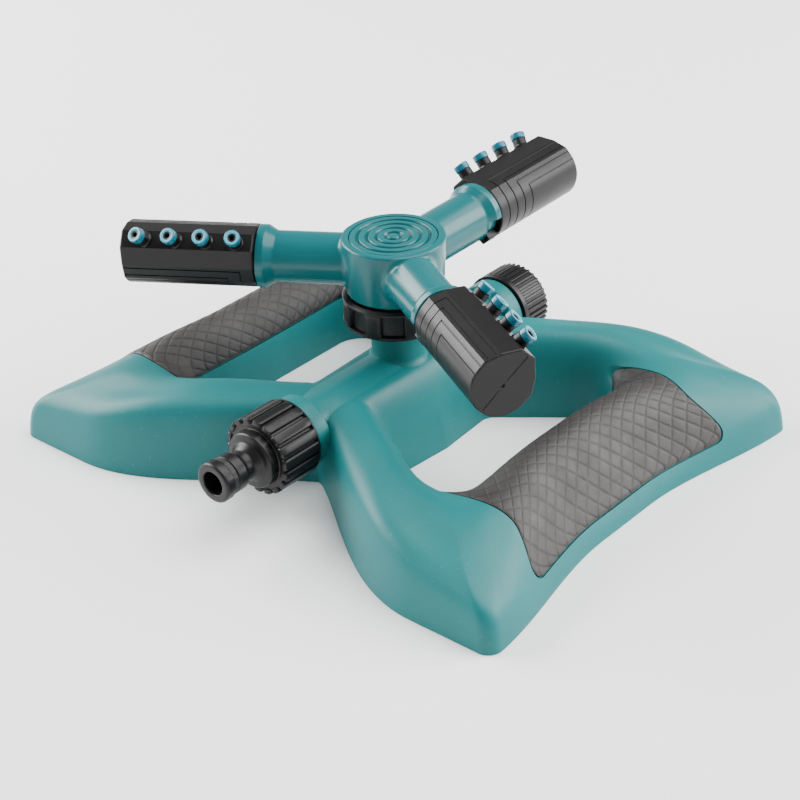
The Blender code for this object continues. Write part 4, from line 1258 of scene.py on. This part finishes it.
def barred(name: str, corners: Sequence[Corner], bar: Bar, count: int, phase: float,
           closed: bool = True) -> Object:
    """A turned charcoal piece with bars round it.

    Args:
        name: its name.
        corners: radius, height and rounding of each corner of its profile.
        bar: one of its bars.
        count: how many bars it has.
        phase: angle of the first bar.
        closed: whether the profile's last corner joins the first.

    Returns:
        The piece, along Z.
    """
    core = turned("core", corners, EVEN, Finish.CHARCOAL, closed=closed, angle=50.0)
    values = {"Count": count, "Phase": phase, "Material": Paint.of(Finish.CHARCOAL)}
    return joined(name, [core, radial_repeat().run(bar.build(), values)], 40.0)


# --- Hose end and outlet cap ------------------------------------------------------------------------
@dataclass
class InletAdapter:
    """The charcoal adapter: a ribbed collar on the barrel's spigot and a quick-connect nipple.

    Args:
        seat_y: outer face of the barrel's flange.
        end_y: the nipple's end.
        pipe_z: its axis above the ground.
        collar: the collar's radius.
        collar_length: its length.
        ribs: how many flat ribs it has.
        gap: the space between two ribs.
        groove: how deep that space is.
        shoulder: radius of the shoulder.
        neck: radius of the neck.
        land: radius of the nipple's land.
        tip: radius of its end.
        bore: its bore.
        socket: radius of the threaded socket.
        socket_length: its depth.
    """

    seat_y: float = -0.0623
    end_y: float = -0.1040
    pipe_z: float = 0.0277
    collar: float = 0.0155
    collar_length: float = 0.0183
    ribs: int = 18
    gap: float = 0.0013
    groove: float = 0.0013
    shoulder: float = 0.0112
    neck: float = 0.0064
    land: float = 0.0074
    tip: float = 0.0080
    bore: float = 0.0047
    socket: float = 0.0121
    socket_length: float = 0.0134

    def build(self) -> Object:
        """Builds the adapter."""
        length = self.seat_y - self.end_y
        high = self.collar_length
        floor = self.collar - self.groove
        waist = self.neck - 0.0004
        corners = [
            (self.bore, length, 0.0006), (self.tip, length, 0.0012), (self.tip, length - 0.0042, 0.0004),
            (self.neck, length - 0.0044, 0.0003), (self.neck, length - 0.0068, 0.0003),
            (self.land, length - 0.0071, 0.0004), (self.land, length - 0.0112, 0.0004),
            (waist, length - 0.0128, 0.0020), (waist, length - 0.0160, 0.0024),
            (self.shoulder - 0.0030, length - 0.0186, 0.0016), (self.shoulder, high + 0.0042, 0.0012),
            (self.shoulder, high - 0.0002, 0.0006), (floor, high, 0.0006), (floor, 0.0010, 0.0004),
            (self.collar, 0.0008, 0.0002), (self.collar - 0.0002, 0.0, 0.0002), (self.socket, 0.0, 0.0003),
            (self.socket, self.socket_length, 0.0), (self.bore, self.socket_length, 0.0)]
        rib = Bar(math.tau * self.collar / self.ribs - self.gap, 0.0004, high + 0.0006, floor - 0.0006,
                  self.collar, 0.00045)
        whole = barred("adapter_body", corners, rib, self.ribs, 0.1)
        whole.data.transform(along_y(self.seat_y, self.pipe_z, -1.0))
        return hand_over(whole, "inlet_adapter", "base")


@dataclass
class OutletCap:
    """The closed cap on the far spigot, with fine bars round it.

    Args:
        seat_y: outer face of the barrel's flange.
        pipe_z: its axis above the ground.
        radius: its radius.
        length: its length.
        bars: how many bars it has.
        bar_share: a bar's width, as a share of its pitch.
        groove: how deep the spaces between the bars are.
        socket: radius of the threaded socket.
        cover: thickness of its end.
    """

    seat_y: float = 0.0623
    pipe_z: float = 0.0277
    radius: float = 0.0150
    length: float = 0.0165
    bars: int = 36
    bar_share: float = 0.56
    groove: float = 0.0009
    socket: float = 0.0121
    cover: float = 0.0025

    def build(self) -> Object:
        """Builds the cap."""
        top = self.length
        floor = self.radius - self.groove
        corners = [
            (0.0, top - 0.0006, 0.0), (self.radius - 0.0056, top - 0.0006, 0.0004),
            (self.radius - 0.0050, top, 0.0004), (self.radius - 0.0014, top, 0.0012),
            (floor, top - 0.0022, 0.0006), (floor, 0.0030, 0.0003), (self.radius, 0.0024, 0.0004),
            (self.radius, 0.0, 0.0004), (self.socket, 0.0, 0.0003), (self.socket, top - self.cover, 0.0),
            (0.0, top - self.cover, 0.0)]
        bar = Bar(math.tau * self.radius / self.bars * self.bar_share, 0.0022, top - 0.0012,
                  floor - 0.0006, self.radius, 0.00035)
        whole = barred("cap_body", corners, bar, self.bars, 0.0, closed=False)
        whole.data.transform(along_y(self.seat_y, self.pipe_z, 1.0))
        return hand_over(whole, "outlet_cap", "base")


@dataclass
class CollarNut:
    """The nut that holds the swivel down, with raised blocks round it.

    Args:
        low: its underside.
        high: its top.
        radius: over its blocks.
        blocks: how many blocks it has.
        block_share: a block's width, as a share of its pitch.
        groove: how deep the spaces between the blocks are.
        rim: height of the full rims above and below them.
        inside: radius round the riser's collar.
        lip: thickness of its top lip.
        hole: radius of the hole for the bush.
    """

    low: float = 0.0510
    high: float = 0.0636
    radius: float = 0.0208
    blocks: int = 8
    block_share: float = 0.42
    groove: float = 0.0020
    rim: float = 0.0019
    inside: float = 0.0158
    lip: float = 0.0016
    hole: float = 0.0088

    def build(self) -> Object:
        """Builds the nut."""
        floor = self.radius - self.groove
        rim = self.rim
        corners = [
            (self.hole, self.high, 0.0003), (self.radius - 0.0014, self.high, 0.0005),
            (self.radius, self.high - 0.0009, 0.0005), (self.radius, self.high - rim, 0.0003),
            (floor, self.high - rim - 0.0003, 0.0002), (floor, self.low + rim + 0.0003, 0.0002),
            (self.radius, self.low + rim, 0.0003), (self.radius, self.low + 0.0009, 0.0005),
            (self.radius - 0.0014, self.low, 0.0005), (self.inside, self.low, 0.0003),
            (self.inside, self.high - self.lip, 0.0), (self.hole, self.high - self.lip, 0.0)]
        block = Bar(math.tau * self.radius / self.blocks * self.block_share, self.low + 0.0012,
                    self.high - 0.0012, floor - 0.0006, self.radius, 0.0005)
        return hand_over(barred("nut_body", corners, block, self.blocks, 0.25), "collar_nut", "base")


# --- Rotor ------------------------------------------------------------------------------------------
@dataclass
class Rotor:
    """The hub with three arms, and the ringed cap in its top.

    Args:
        low: the hub's underside.
        high: its top.
        top_radius: the hub's radius at its top.
        bottom_radius: the hub's radius at its underside.
        cap_radius: the seat of the cap.
        cap_drop: depth of that seat.
        rings: radius of each raised ring of the cap.
        chamber: radius of the water chamber.
        chamber_low: the chamber's floor.
        neck: radius of the hole for the bush.
        arm_z: height of the arms' axes.
        arm_radius: the arms' radius.
        arm_bore: their bore.
        flare: radius of the flare at each arm's end.
        reach: from the rotor's axis to the flare's end.
        fillet: the round where an arm leaves the hub.
        first: the first arm's direction.
        arms: how many arms.
        lug: thickness of the tubes' stop lugs.
        lug_length: their length.
        slot_half: half angle of the slot that a lug swings in.
    """

    low: float = 0.0644
    high: float = 0.0866
    top_radius: float = 0.0202
    bottom_radius: float = 0.0190
    cap_radius: float = 0.0173
    cap_drop: float = 0.0019
    rings: tuple[float, ...] = (0.0050, 0.0086, 0.0122)
    chamber: float = 0.0130
    chamber_low: float = 0.0698
    neck: float = 0.0088
    arm_z: float = 0.0759
    arm_radius: float = 0.0102
    arm_bore: float = 0.0077
    flare: float = 0.0124
    reach: float = 0.0524
    fillet: float = 0.0026
    first: float = math.radians(91.5)
    arms: int = 3
    lug: float = 0.0026
    lug_length: float = 0.0060
    slot_half: float = math.radians(50.4)

    def place(self, index: int) -> Matrix:
        """The frame of an arm, with X along it."""
        return (Matrix.Translation((0.0, 0.0, self.arm_z))
                @ Matrix.Rotation(self.first + index * math.tau / self.arms, 4, "Z"))

    def arm(self, index: int) -> Object:
        """One arm with its flare, closed."""
        end = self.reach
        corners = [
            (0.0, end, 0.0), (self.flare, end, 0.0005), (self.flare, end - 0.0031, 0.0008),
            (self.arm_radius, end - 0.0066, 0.0030), (self.arm_radius, 0.0, 0.0), (0.0, 0.0, 0.0)]
        return turned("arm", corners, 80, Finish.ROTOR_TEAL, place=self.along(index))

    def along(self, index: int) -> Matrix:
        """The frame of a piece turned about an arm, with Z along it."""
        return self.place(index) @ Matrix.Rotation(QUARTER, 4, "Y")

    def root(self, index: int) -> Object:
        """The fillet between an arm and the hub, closed."""
        rows = []
        for step in range(EVEN):
            angle = math.tau * step / EVEN
            side, up = math.cos(angle), math.sin(angle)
            spare = (self.high - self.arm_z if up > 0.0 else self.arm_z - self.low) - 0.0004
            size = self.fillet
            if abs(up) > 0.05:
                size = max(0.0001, min(size, spare / abs(up) - self.arm_radius))

            def on_hub(radius: float) -> Vector:
                """The point of the hub's side above a place round the arm."""
                z = up * radius
                share = (self.arm_z + z - self.low) / (self.high - self.low)
                hub = self.bottom_radius + (self.top_radius - self.bottom_radius) * share
                return Vector((math.sqrt(max(hub ** 2 - (side * radius) ** 2, 0.0)), side * radius, z))

            corner = on_hub(self.arm_radius)
            wall = on_hub(self.arm_radius + size)
            arm = corner + Vector((size, 0.0, 0.0))
            row = [arm.lerp(corner, part / 8).lerp(corner.lerp(wall, part / 8), part / 8)
                   for part in range(9)]
            inner = self.arm_radius - 0.0015
            sunk = wall.x - 0.0030
            row += [(sunk, wall.y, wall.z), (sunk, side * inner, up * inner),
                    (arm.x, side * inner, up * inner)]
            rows.append([tuple(point) for point in row])
        solid = Solid()
        solid.grid(np.array(rows), wrap_rows=True, wrap_columns=True)
        return solid.object("arm_root", [Finish.ROTOR_TEAL], place=self.place(index))

    def slot(self, index: int, tilt: float) -> Object:
        """The slot that a stop lug swings in, as a closed shape."""
        steps = 25
        angles = np.linspace(-self.slot_half, self.slot_half, steps)
        low, high = (np.stack([np.sin(angles) * radius, -np.cos(angles) * radius], axis=1)
                     for radius in (self.flare - self.lug - 0.0003, self.flare + 0.0010))
        ends = (self.reach - self.lug_length - 0.0003, self.reach + 0.0005)
        rows = np.array([[(x, *point) for point in (*high, *low[::-1])] for x in ends])
        solid = Solid()
        solid.grid(rows, wrap_columns=True)
        for row in rows:
            solid.grid(np.stack([row[:steps], row[:steps - 1:-1]]))
        return solid.object("slot", [Finish.ROTOR_TEAL],
                            place=self.place(index) @ Matrix.Rotation(tilt, 4, "X"))

    def build(self, tilt: float) -> list[Object]:
        """Builds the hub and its cap.

        Args:
            tilt: how far the nozzle tubes are turned about their arms at rest.

        Returns:
            The hub and the cap.
        """
        hub = turned("hub_body", [(0.0, self.high, 0.0), (self.top_radius, self.high, 0.0011),
                                  (self.bottom_radius, self.low, 0.0007), (0.0, self.low, 0.0)],
                     FINE, Finish.ROTOR_TEAL)
        combine("UNION", hub, *map(self.arm, range(self.arms)), *map(self.root, range(self.arms)))
        seat = self.high - self.cap_drop
        over, under = self.high + 0.0010, self.low - 0.0010
        hollow = turned("hollow", [
            (0.0, over, 0.0), (self.cap_radius, over, 0.0), (self.cap_radius, seat, 0.0),
            (self.chamber, seat, 0.0), (self.chamber, self.chamber_low, 0.0),
            (self.neck, self.chamber_low, 0.0), (self.neck, under, 0.0), (0.0, under, 0.0)],
            EVEN, Finish.ROTOR_TEAL)
        combine("DIFFERENCE", hub, hollow)
        start, end = self.chamber / 2.0, self.reach + 0.0010
        for index in range(self.arms):
            bore = turned("bore", [(0.0, end, 0.0), (self.arm_bore, end, 0.0), (self.arm_bore, start, 0.0),
                                   (0.0, start, 0.0)], COARSE, Finish.ROTOR_TEAL, place=self.along(index))
            combine("DIFFERENCE", hub, bore, self.slot(index, tilt))
        return [hand_over(hub, "rotor_hub", "rotor"),
                hand_over(self.cap(), "hub_cap", "rotor")]

    def cap(self) -> Object:
        """The disc with raised rings round a centre button."""
        top = self.high
        floor = top - 0.0011
        rim = self.cap_radius - 0.0003
        corners: list[Corner] = [(0.0, top, 0.0), (0.0021, top, 0.0005), (0.0025, floor, 0.0002)]
        for middle in self.rings:
            corners += [(middle - 0.0014, floor, 0.0002), (middle - 0.0010, top, 0.0004),
                        (middle + 0.0010, top, 0.0004), (middle + 0.0014, floor, 0.0002)]
        corners += [(0.0144, floor, 0.0002), (0.0148, top, 0.0004), (rim, top, 0.0005),
                    (rim, top - 0.0016, 0.0), (0.0, top - 0.0016, 0.0)]
        return turned("cap_rings", corners, FINE, Finish.ROTOR_TEAL, steps=3, angle=60.0)


# --- Nozzle tubes -----------------------------------------------------------------------------------
@dataclass
class NozzleTube:
    """A nozzle tube that turns about its arm: X along it, and Z the way its nozzles point.

    Args:
        rotor: the rotor that carries it.
        radius: its radius.
        start: its inner end.
        end: its closed end.
        facets: flats in a full turn.
        pad_width: width of the pad under the nozzles.
        pad_height: the pad above the tube's axis.
        elevation: the nozzles' rise above level.
        nozzles: how many nozzles.
        nozzle_first: the first nozzle, from the rotor's axis.
        nozzle_pitch: from one nozzle to the next.
        fan: how much more each nozzle leans than the last.
        stem: the stems' radius.
        stem_length: how far they stand above the pad.
        tip: the tips' radius.
        tip_length: their length.
        tip_bore: the jet's radius.
        spigot: radius of the spigot in the arm.
        spigot_length: its length.
        lug_width: width of the stop lug.
        lines: how many engraved U lines it has.
        line_first: the first of them, from the tube's inner end.
        line_pitch: from one line to the next.
        line_reach: how far the first reaches round, from the side away from the nozzles.
        line_step: how much less each next line reaches.
        groove: depth of the lines.
        groove_width: their width.
    """

    rotor: Rotor
    radius: float = 0.0121
    start: float = 0.0527
    end: float = 0.1050
    facets: int = 12
    pad_width: float = 0.0070
    pad_height: float = 0.0142
    elevation: float = math.radians(45.5)
    nozzles: int = 4
    nozzle_first: float = 0.0597
    nozzle_pitch: float = 0.0102
    fan: float = math.radians(7.0)
    stem: float = 0.0029
    stem_length: float = 0.00305
    tip: float = 0.00312
    tip_length: float = 0.0028
    tip_bore: float = 0.0010
    spigot: float = 0.0074
    spigot_length: float = 0.0130
    lug_width: float = 0.0050
    lines: int = 4
    line_first: float = 0.0055
    line_pitch: float = 0.0052
    line_reach: float = math.radians(128.0)
    line_step: float = math.radians(16.0)
    groove: float = 0.00035
    groove_width: float = 0.0005

    @property
    def tilt(self) -> float:
        """How far the tube is turned about its arm."""
        return self.elevation - QUARTER

    def place(self, index: int) -> Matrix:
        """The frame of a tube."""
        return self.rotor.place(index) @ Matrix.Rotation(self.tilt, 4, "X")

    def outline(self, angle: float) -> float:
        """Radius of the tube's section at an angle from its nozzles.

        Args:
            angle: the angle, from -pi to pi.

        Returns:
            The distance from the axis.
        """
        away = abs(angle)
        facet = math.tau / self.facets
        half_pad = self.pad_width / 2.0
        pad_edge = math.atan2(half_pad, self.pad_height)
        if away <= pad_edge:
            return self.pad_height / math.cos(away)
        corner = self.radius / math.cos(facet / 2.0)
        first = facet * 1.5
        if away < first:
            start = np.array([half_pad, self.pad_height])
            end = np.array([math.sin(first), math.cos(first)]) * corner
            normal = np.array([end[1] - start[1], start[0] - end[0]])
            return float(normal @ start / (normal @ (math.sin(away), math.cos(away))))
        if away < QUARTER:
            return min(self.radius / math.cos((away + facet / 2.0) % facet - facet / 2.0), corner)
        return self.radius

    def marks(self) -> list[tuple[float, float]]:
        """X where each engraved line crosses, and how far round it reaches."""
        return [(self.start + self.line_first + self.line_pitch * index,
                 self.line_reach - self.line_step * index) for index in range(self.lines)]

    def shell(self) -> Object:
        """The body with its engraved lines, closed, along X."""
        turns = np.radians(np.linspace(-180.0, 180.0, 361)[:-1])
        corner = math.atan2(self.pad_width / 2.0, self.pad_height)
        edges = [corner, -corner]
        edges += [side * math.tau / self.facets * (step + 0.5) for step in (1, 2) for side in (-1.0, 1.0)]
        stations = list(np.linspace(self.start + 0.0006, self.end - 0.0006, 60))
        steps = np.array([-1.2, -0.5, 0.0, 0.5, 1.2]) * self.groove_width / 2.0
        for x, reach in self.marks():
            stations += list(x + steps)
            edges += [side * turn for side in (-1.0, 1.0) for turn in math.pi - reach + steps / self.radius]
        turns = np.unique(np.round(np.concatenate([turns, edges]), 6))
        stations = np.unique(np.round(stations, 6))
        radii = np.array([self.outline(turn) for turn in turns])
        rows = []
        for x in stations:
            depth = np.array([self.groove_and_shade(x, turn) for turn in turns])
            rows.append(self.ring(x, turns, radii - depth))
        lead = [self.ring(self.start, turns, radii * part) for part in (0.0, 0.3, 0.6, 0.955)]
        lead.append(self.ring(self.start + 0.00018, turns, radii * 0.985))
        parting = np.where(np.abs(np.abs(np.abs(turns) - QUARTER) - QUARTER) < 0.021, 0.0002, 0.0)
        tail = [self.ring(self.end - 0.00018, turns, radii * 0.986)]
        tail += [self.ring(self.end, turns, radii * part) for part in (0.958, 0.94)]
        tail += [self.ring(self.end - parting, turns, radii * part) for part in (0.92, 0.75, 0.5, 0.25)]
        tail += [self.ring(self.end - drop, turns, radii * part)
                 for drop, part in ((0.0, 0.062), (0.0005, 0.04), (0.0005, 0.0))]
        solid = Solid()
        solid.grid(np.array([*lead, *rows, *tail]), wrap_columns=True)
        return solid.object("tube", [Finish.TUBE_CHARCOAL], angle=12.0)

    def groove_and_shade(self, x: float, turn: float) -> float:
        """Depth of the engraved lines at a place on the side.

        Args:
            x: along the tube.
            turn: angle from the nozzles.

        Returns:
            The depth.
        """
        half = self.groove_width * 0.6
        deep = 0.0
        for middle, reach in self.marks():
            past = (math.pi - abs(turn) - reach) * self.radius
            near = abs(x - middle) if past <= 0.0 else math.hypot(x - middle, past)
            if x >= middle:
                near = min(near, abs(past))
            deep = max(deep, self.groove * ease((half - near) / (half * 0.6)))
        return deep

    def ring(self, x: float | np.ndarray, turns: np.ndarray, radii: np.ndarray) -> np.ndarray:
        """Points round the tube, at one X or at one for each."""
        along = np.broadcast_to(x, turns.shape)
        return np.stack([along, np.sin(turns) * radii, np.cos(turns) * radii], axis=1)

    def spigot_and_lug(self) -> list[Object]:
        """The spigot with its seal groove, and the stop lug."""
        seat = self.rotor.reach
        groove = seat - self.spigot_length + 0.0035
        deep = self.spigot - 0.00154
        corners = [
            (0.0052, self.start + 0.0005, 0.0), (self.spigot, self.start + 0.0005, 0.0),
            (self.spigot, groove + 0.0011, 0.0003), (deep, groove + 0.0011, 0.0002),
            (deep, groove - 0.0011, 0.0002), (self.spigot, groove - 0.0011, 0.0003),
            (self.spigot, seat - self.spigot_length, 0.0006), (0.0052, seat - self.spigot_length, 0.0006)]
        spigot = turned("spigot", corners, COARSE, Finish.TUBE_CHARCOAL, closed=True,
                        place=Matrix.Rotation(QUARTER, 4, "Y"))
        low = self.rotor.flare - self.rotor.lug
        back, front = seat - self.rotor.lug_length, self.start + 0.0008
        half = self.lug_width / 2.0
        plan = np.array(rounded([(back, -half, 0.0007), (back, half, 0.0007), (front, half, 0.0),
                                 (front, -half, 0.0)], closed=True))
        rows = []
        for radius, shrink in ((low, 0.0), (self.rotor.flare - 0.0004, 0.0), (self.rotor.flare, 0.0004)):
            side = np.sign(plan[:, 1]) * (np.abs(plan[:, 1]) - shrink)
            rows.append(np.stack([plan[:, 0] + shrink * (plan[:, 0] < seat - 0.003), side,
                                  -np.sqrt(radius ** 2 - side ** 2)], axis=1))
        middle = plan[:, 0].mean()
        ends = [np.repeat([[middle, 0.0, -radius]], len(plan), axis=0) for radius in
                (low, self.rotor.flare)]
        lug = Solid()
        lug.grid(np.array([ends[0], *rows, ends[1]]), wrap_columns=True)
        return [spigot, lug.object("lug", [Finish.TUBE_CHARCOAL])]

    def stems(self) -> Object:
        """The row of stems, fanned along the pad."""
        top = self.pad_height + self.stem_length
        foot = self.radius - 0.0012
        corners = [
            (0.0, top, 0.0), (self.stem, top, 0.0002), (self.stem, self.pad_height + 0.0004, 0.0006),
            (self.stem + 0.0005, self.pad_height - 0.0002, 0.0), (self.stem, foot, 0.0),
            (0.0, foot, 0.0)]
        stem = turned("stem", corners, 40, Finish.TUBE_CHARCOAL)
        return linear_repeat().run(stem, {"Count": self.nozzles, "Start": self.nozzle_first,
                                          "Pitch": self.nozzle_pitch, "Lean": self.fan,
                                          "Height": self.pad_height,
                                          "Material": Paint.of(Finish.TUBE_CHARCOAL)})

    def tips(self, index: int) -> list[Object]:
        """The blue tips of one tube, each with a pale face round its hole and painted shade inside the hole.
        """
        pieces = []
        for step in range(self.nozzles):
            low = self.pad_height / math.cos(self.fan * step) + self.stem_length + 0.0001
            high = low + self.tip_length
            bore = self.tip_bore
            corners = [
                (0.0018, low, 0.0), (self.tip, low, 0.0005), (self.tip, high, 0.0007),
                (bore + 0.0011, high, 0.0003), (bore + 0.0008, high - 0.0004, 0.0002),
                (bore, high - 0.0005, 0.0001), (bore, high - 0.0016, 0.0), (bore, low + 0.0009, 0.0),
                (0.0018, low + 0.0009, 0.0)]
            profile = rounded(corners, closed=True, steps=5)
            slots = [self.zone(profile, at, high) for at in range(len(profile))]
            solid = Solid()
            solid.turned(profile, 48, slots)
            place = (self.place(index)
                     @ Matrix.Translation((self.nozzle_first + step * self.nozzle_pitch, 0.0, 0.0))
                     @ Matrix.Rotation(self.fan * step, 4, "Y"))
            tip = solid.object(f"tip_{index + 1}_{step + 1}",
                               [Finish.TIP_BLUE, Finish.TIP_FACE, Finish.BLACK], place=place)
            pieces.append(hand_over(tip, f"nozzle_tip_{index + 1}_{step + 1}", f"tube_{index + 1}"))
        return pieces

    def zone(self, profile: Sequence[Sequence[float]], at: int, high: float) -> int:
        """Material slot of one step of a tip's profile: side, face, or the hole's mouth and bore, painted
        black as shade.
        """
        radius = (profile[at][0] + profile[(at + 1) % len(profile)][0]) / 2.0
        level = (profile[at][1] + profile[(at + 1) % len(profile)][1]) / 2.0
        if level > high - 0.0006 and radius < self.tip - 0.0003:
            return 1 if radius > self.tip_bore + 0.0005 else 2
        return 2 if radius < self.tip_bore + 0.0005 and level > high - 0.0017 else 0

    def build(self, index: int) -> list[Object]:
        """Builds one tube and its tips.

        Args:
            index: which tube, from 0.

        Returns:
            The tube, and then its tips.
        """
        tube = joined(f"tube_body_{index + 1}", [self.shell(), *self.spigot_and_lug(), self.stems()],
                      14.0)
        tube.data.transform(self.place(index))
        hand_over(tube, f"nozzle_tube_{index + 1}", f"tube_{index + 1}")
        return [tube, *self.tips(index)]


# --- Carried-over pieces ----------------------------------------------------------------------------
@dataclass
class InnerParts:
    """Seals, washers and the bush, which keep their own solids and take a material each."""

    seals: tuple[str, ...] = ("nipple_seal", "inlet_washer", "outlet_washer", "bush_seal", "tube_seal_1",
                              "tube_seal_2", "tube_seal_3")
    bearings: tuple[str, ...] = ("thrust_washer", "swivel_bush")

    def dress(self) -> None:
        """Gives each solid its material."""
        for names, finish in ((self.seals, Finish.SEAL), (self.bearings, Finish.BEARING)):
            for name in names:
                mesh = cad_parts[name].data
                mesh.materials.clear()
                mesh.materials.append(Paint.of(finish))


# --- Studio -----------------------------------------------------------------------------------------
@dataclass
class Studio:
    """The floor, the soft lights and the camera.

    Args:
        camera_place: where the camera stands.
        azimuth: how far it has gone round from -Y, in degrees.
        elevation: how far it looks down, in degrees.
        roll: how far it is rolled, in degrees.
        lens: focal length in mm, on a 36 mm sensor.
    """

    camera_place: Corner = (0.46447, -0.51525, 0.42352)
    azimuth: float = 42.06
    elevation: float = 30.57
    roll: float = 2.64
    lens: float = 90.87

    def camera(self) -> None:
        """Sets the camera."""
        turn, rise, roll = (math.radians(value) for value in (self.azimuth, self.elevation, self.roll))
        back = Vector((math.sin(turn) * math.cos(rise), -math.cos(turn) * math.cos(rise), math.sin(rise)))
        right = Vector((math.cos(turn), math.sin(turn), 0.0))
        up = back.cross(right)
        right = right * math.cos(roll) - up * math.sin(roll)
        up = back.cross(right)
        data = bpy.data.cameras.new("camera")
        data.lens = self.lens
        data.sensor_width = 36.0
        data.clip_start = 0.05
        item = bpy.data.objects.new("camera", data)
        bpy.context.scene.collection.objects.link(item)
        item.matrix_world = Matrix((right, up, back)).transposed().to_4x4()
        item.location = self.camera_place
        bpy.context.scene.camera = item

    def light(self, name: str, place: Corner, aim: Corner, size: tuple[float, float],
              power: float) -> None:
        """Adds a soft area light.

        Args:
            name: its name.
            place: where it hangs.
            aim: what it points at.
            size: its two sides.
            power: its power in watts.
        """
        data = bpy.data.lights.new(name, "AREA")
        data.shape = "RECTANGLE"
        data.size, data.size_y = size
        data.energy = power
        item = bpy.data.objects.new(name, data)
        bpy.context.scene.collection.objects.link(item)
        item.location = place
        item.rotation_euler = (Vector(aim) - Vector(place)).to_track_quat("-Z", "Y").to_euler()

    def floor(self) -> None:
        """Adds the floor."""
        solid = Solid()
        side = np.linspace(-3.0, 3.0, 13)
        across, along = np.meshgrid(side, side)
        solid.grid(np.stack([across, along, np.full_like(across, -0.0002)], axis=2))
        floor = solid.object("floor", [Finish.FLOOR])

    def build(self) -> None:
        """Builds the studio."""
        self.floor()
        self.camera()
        self.light("left", (-1.05, -0.30, 0.62), (0.0, 0.0, 0.04), (1.2, 0.8), 40.0)
        self.light("right", (0.85, 0.85, 0.55), (0.0, 0.0, 0.04), (1.0, 0.7), 27.0)
        self.light("top", (0.45, 0.50, 1.45), (0.0, 0.0, 0.0), (1.5, 1.5), 42.0)
        self.sky()

    def sky(self) -> None:
        """Sets a pale surround that is brighter at the horizon than overhead."""
        world = bpy.data.worlds.new("studio")
        world.use_nodes = True
        nodes, links = world.node_tree.nodes, world.node_tree.links
        place = nodes.new("ShaderNodeTexCoord")
        split = nodes.new("ShaderNodeSeparateXYZ")
        level = nodes.new("ShaderNodeMapRange")
        links.new(place.outputs["Generated"], split.inputs[0])
        links.new(split.outputs["Z"], level.inputs["Value"])
        for socket, value in zip(("From Min", "From Max", "To Min", "To Max"), (0.0, 0.8, 0.66, 0.38)):
            level.inputs[socket].default_value = value
        links.new(level.outputs[0], nodes["Background"].inputs["Strength"])
        nodes["Background"].inputs["Color"].default_value = (1.0, 1.0, 1.0, 1.0)
        bpy.context.scene.world = world


def report(pieces: Iterable[Object]) -> None:
    """Logs each piece's faces."""
    for piece in pieces:
        LOG.info("%s: %d faces", piece.name, len(piece.data.polygons))


def main() -> None:
    """Builds the sprinkler, piece by piece, and sets its studio."""
    base = BaseShell()
    grip = Grip(base)
    seat = grip.seat()
    report([base.build([mirrored(seat, "grip_seat_left"), seat]), *grip.build()])
    report([fitting.build() for fitting in (InletAdapter(), OutletCap(), CollarNut())])
    rotor = Rotor()
    tube = NozzleTube(rotor)
    report(rotor.build(tube.tilt))
    for index in range(rotor.arms):
        report(tube.build(index))
    InnerParts().dress()
    Studio().build()


if __name__ == "__main__":
    logging.basicConfig(level=logging.INFO)
    main()
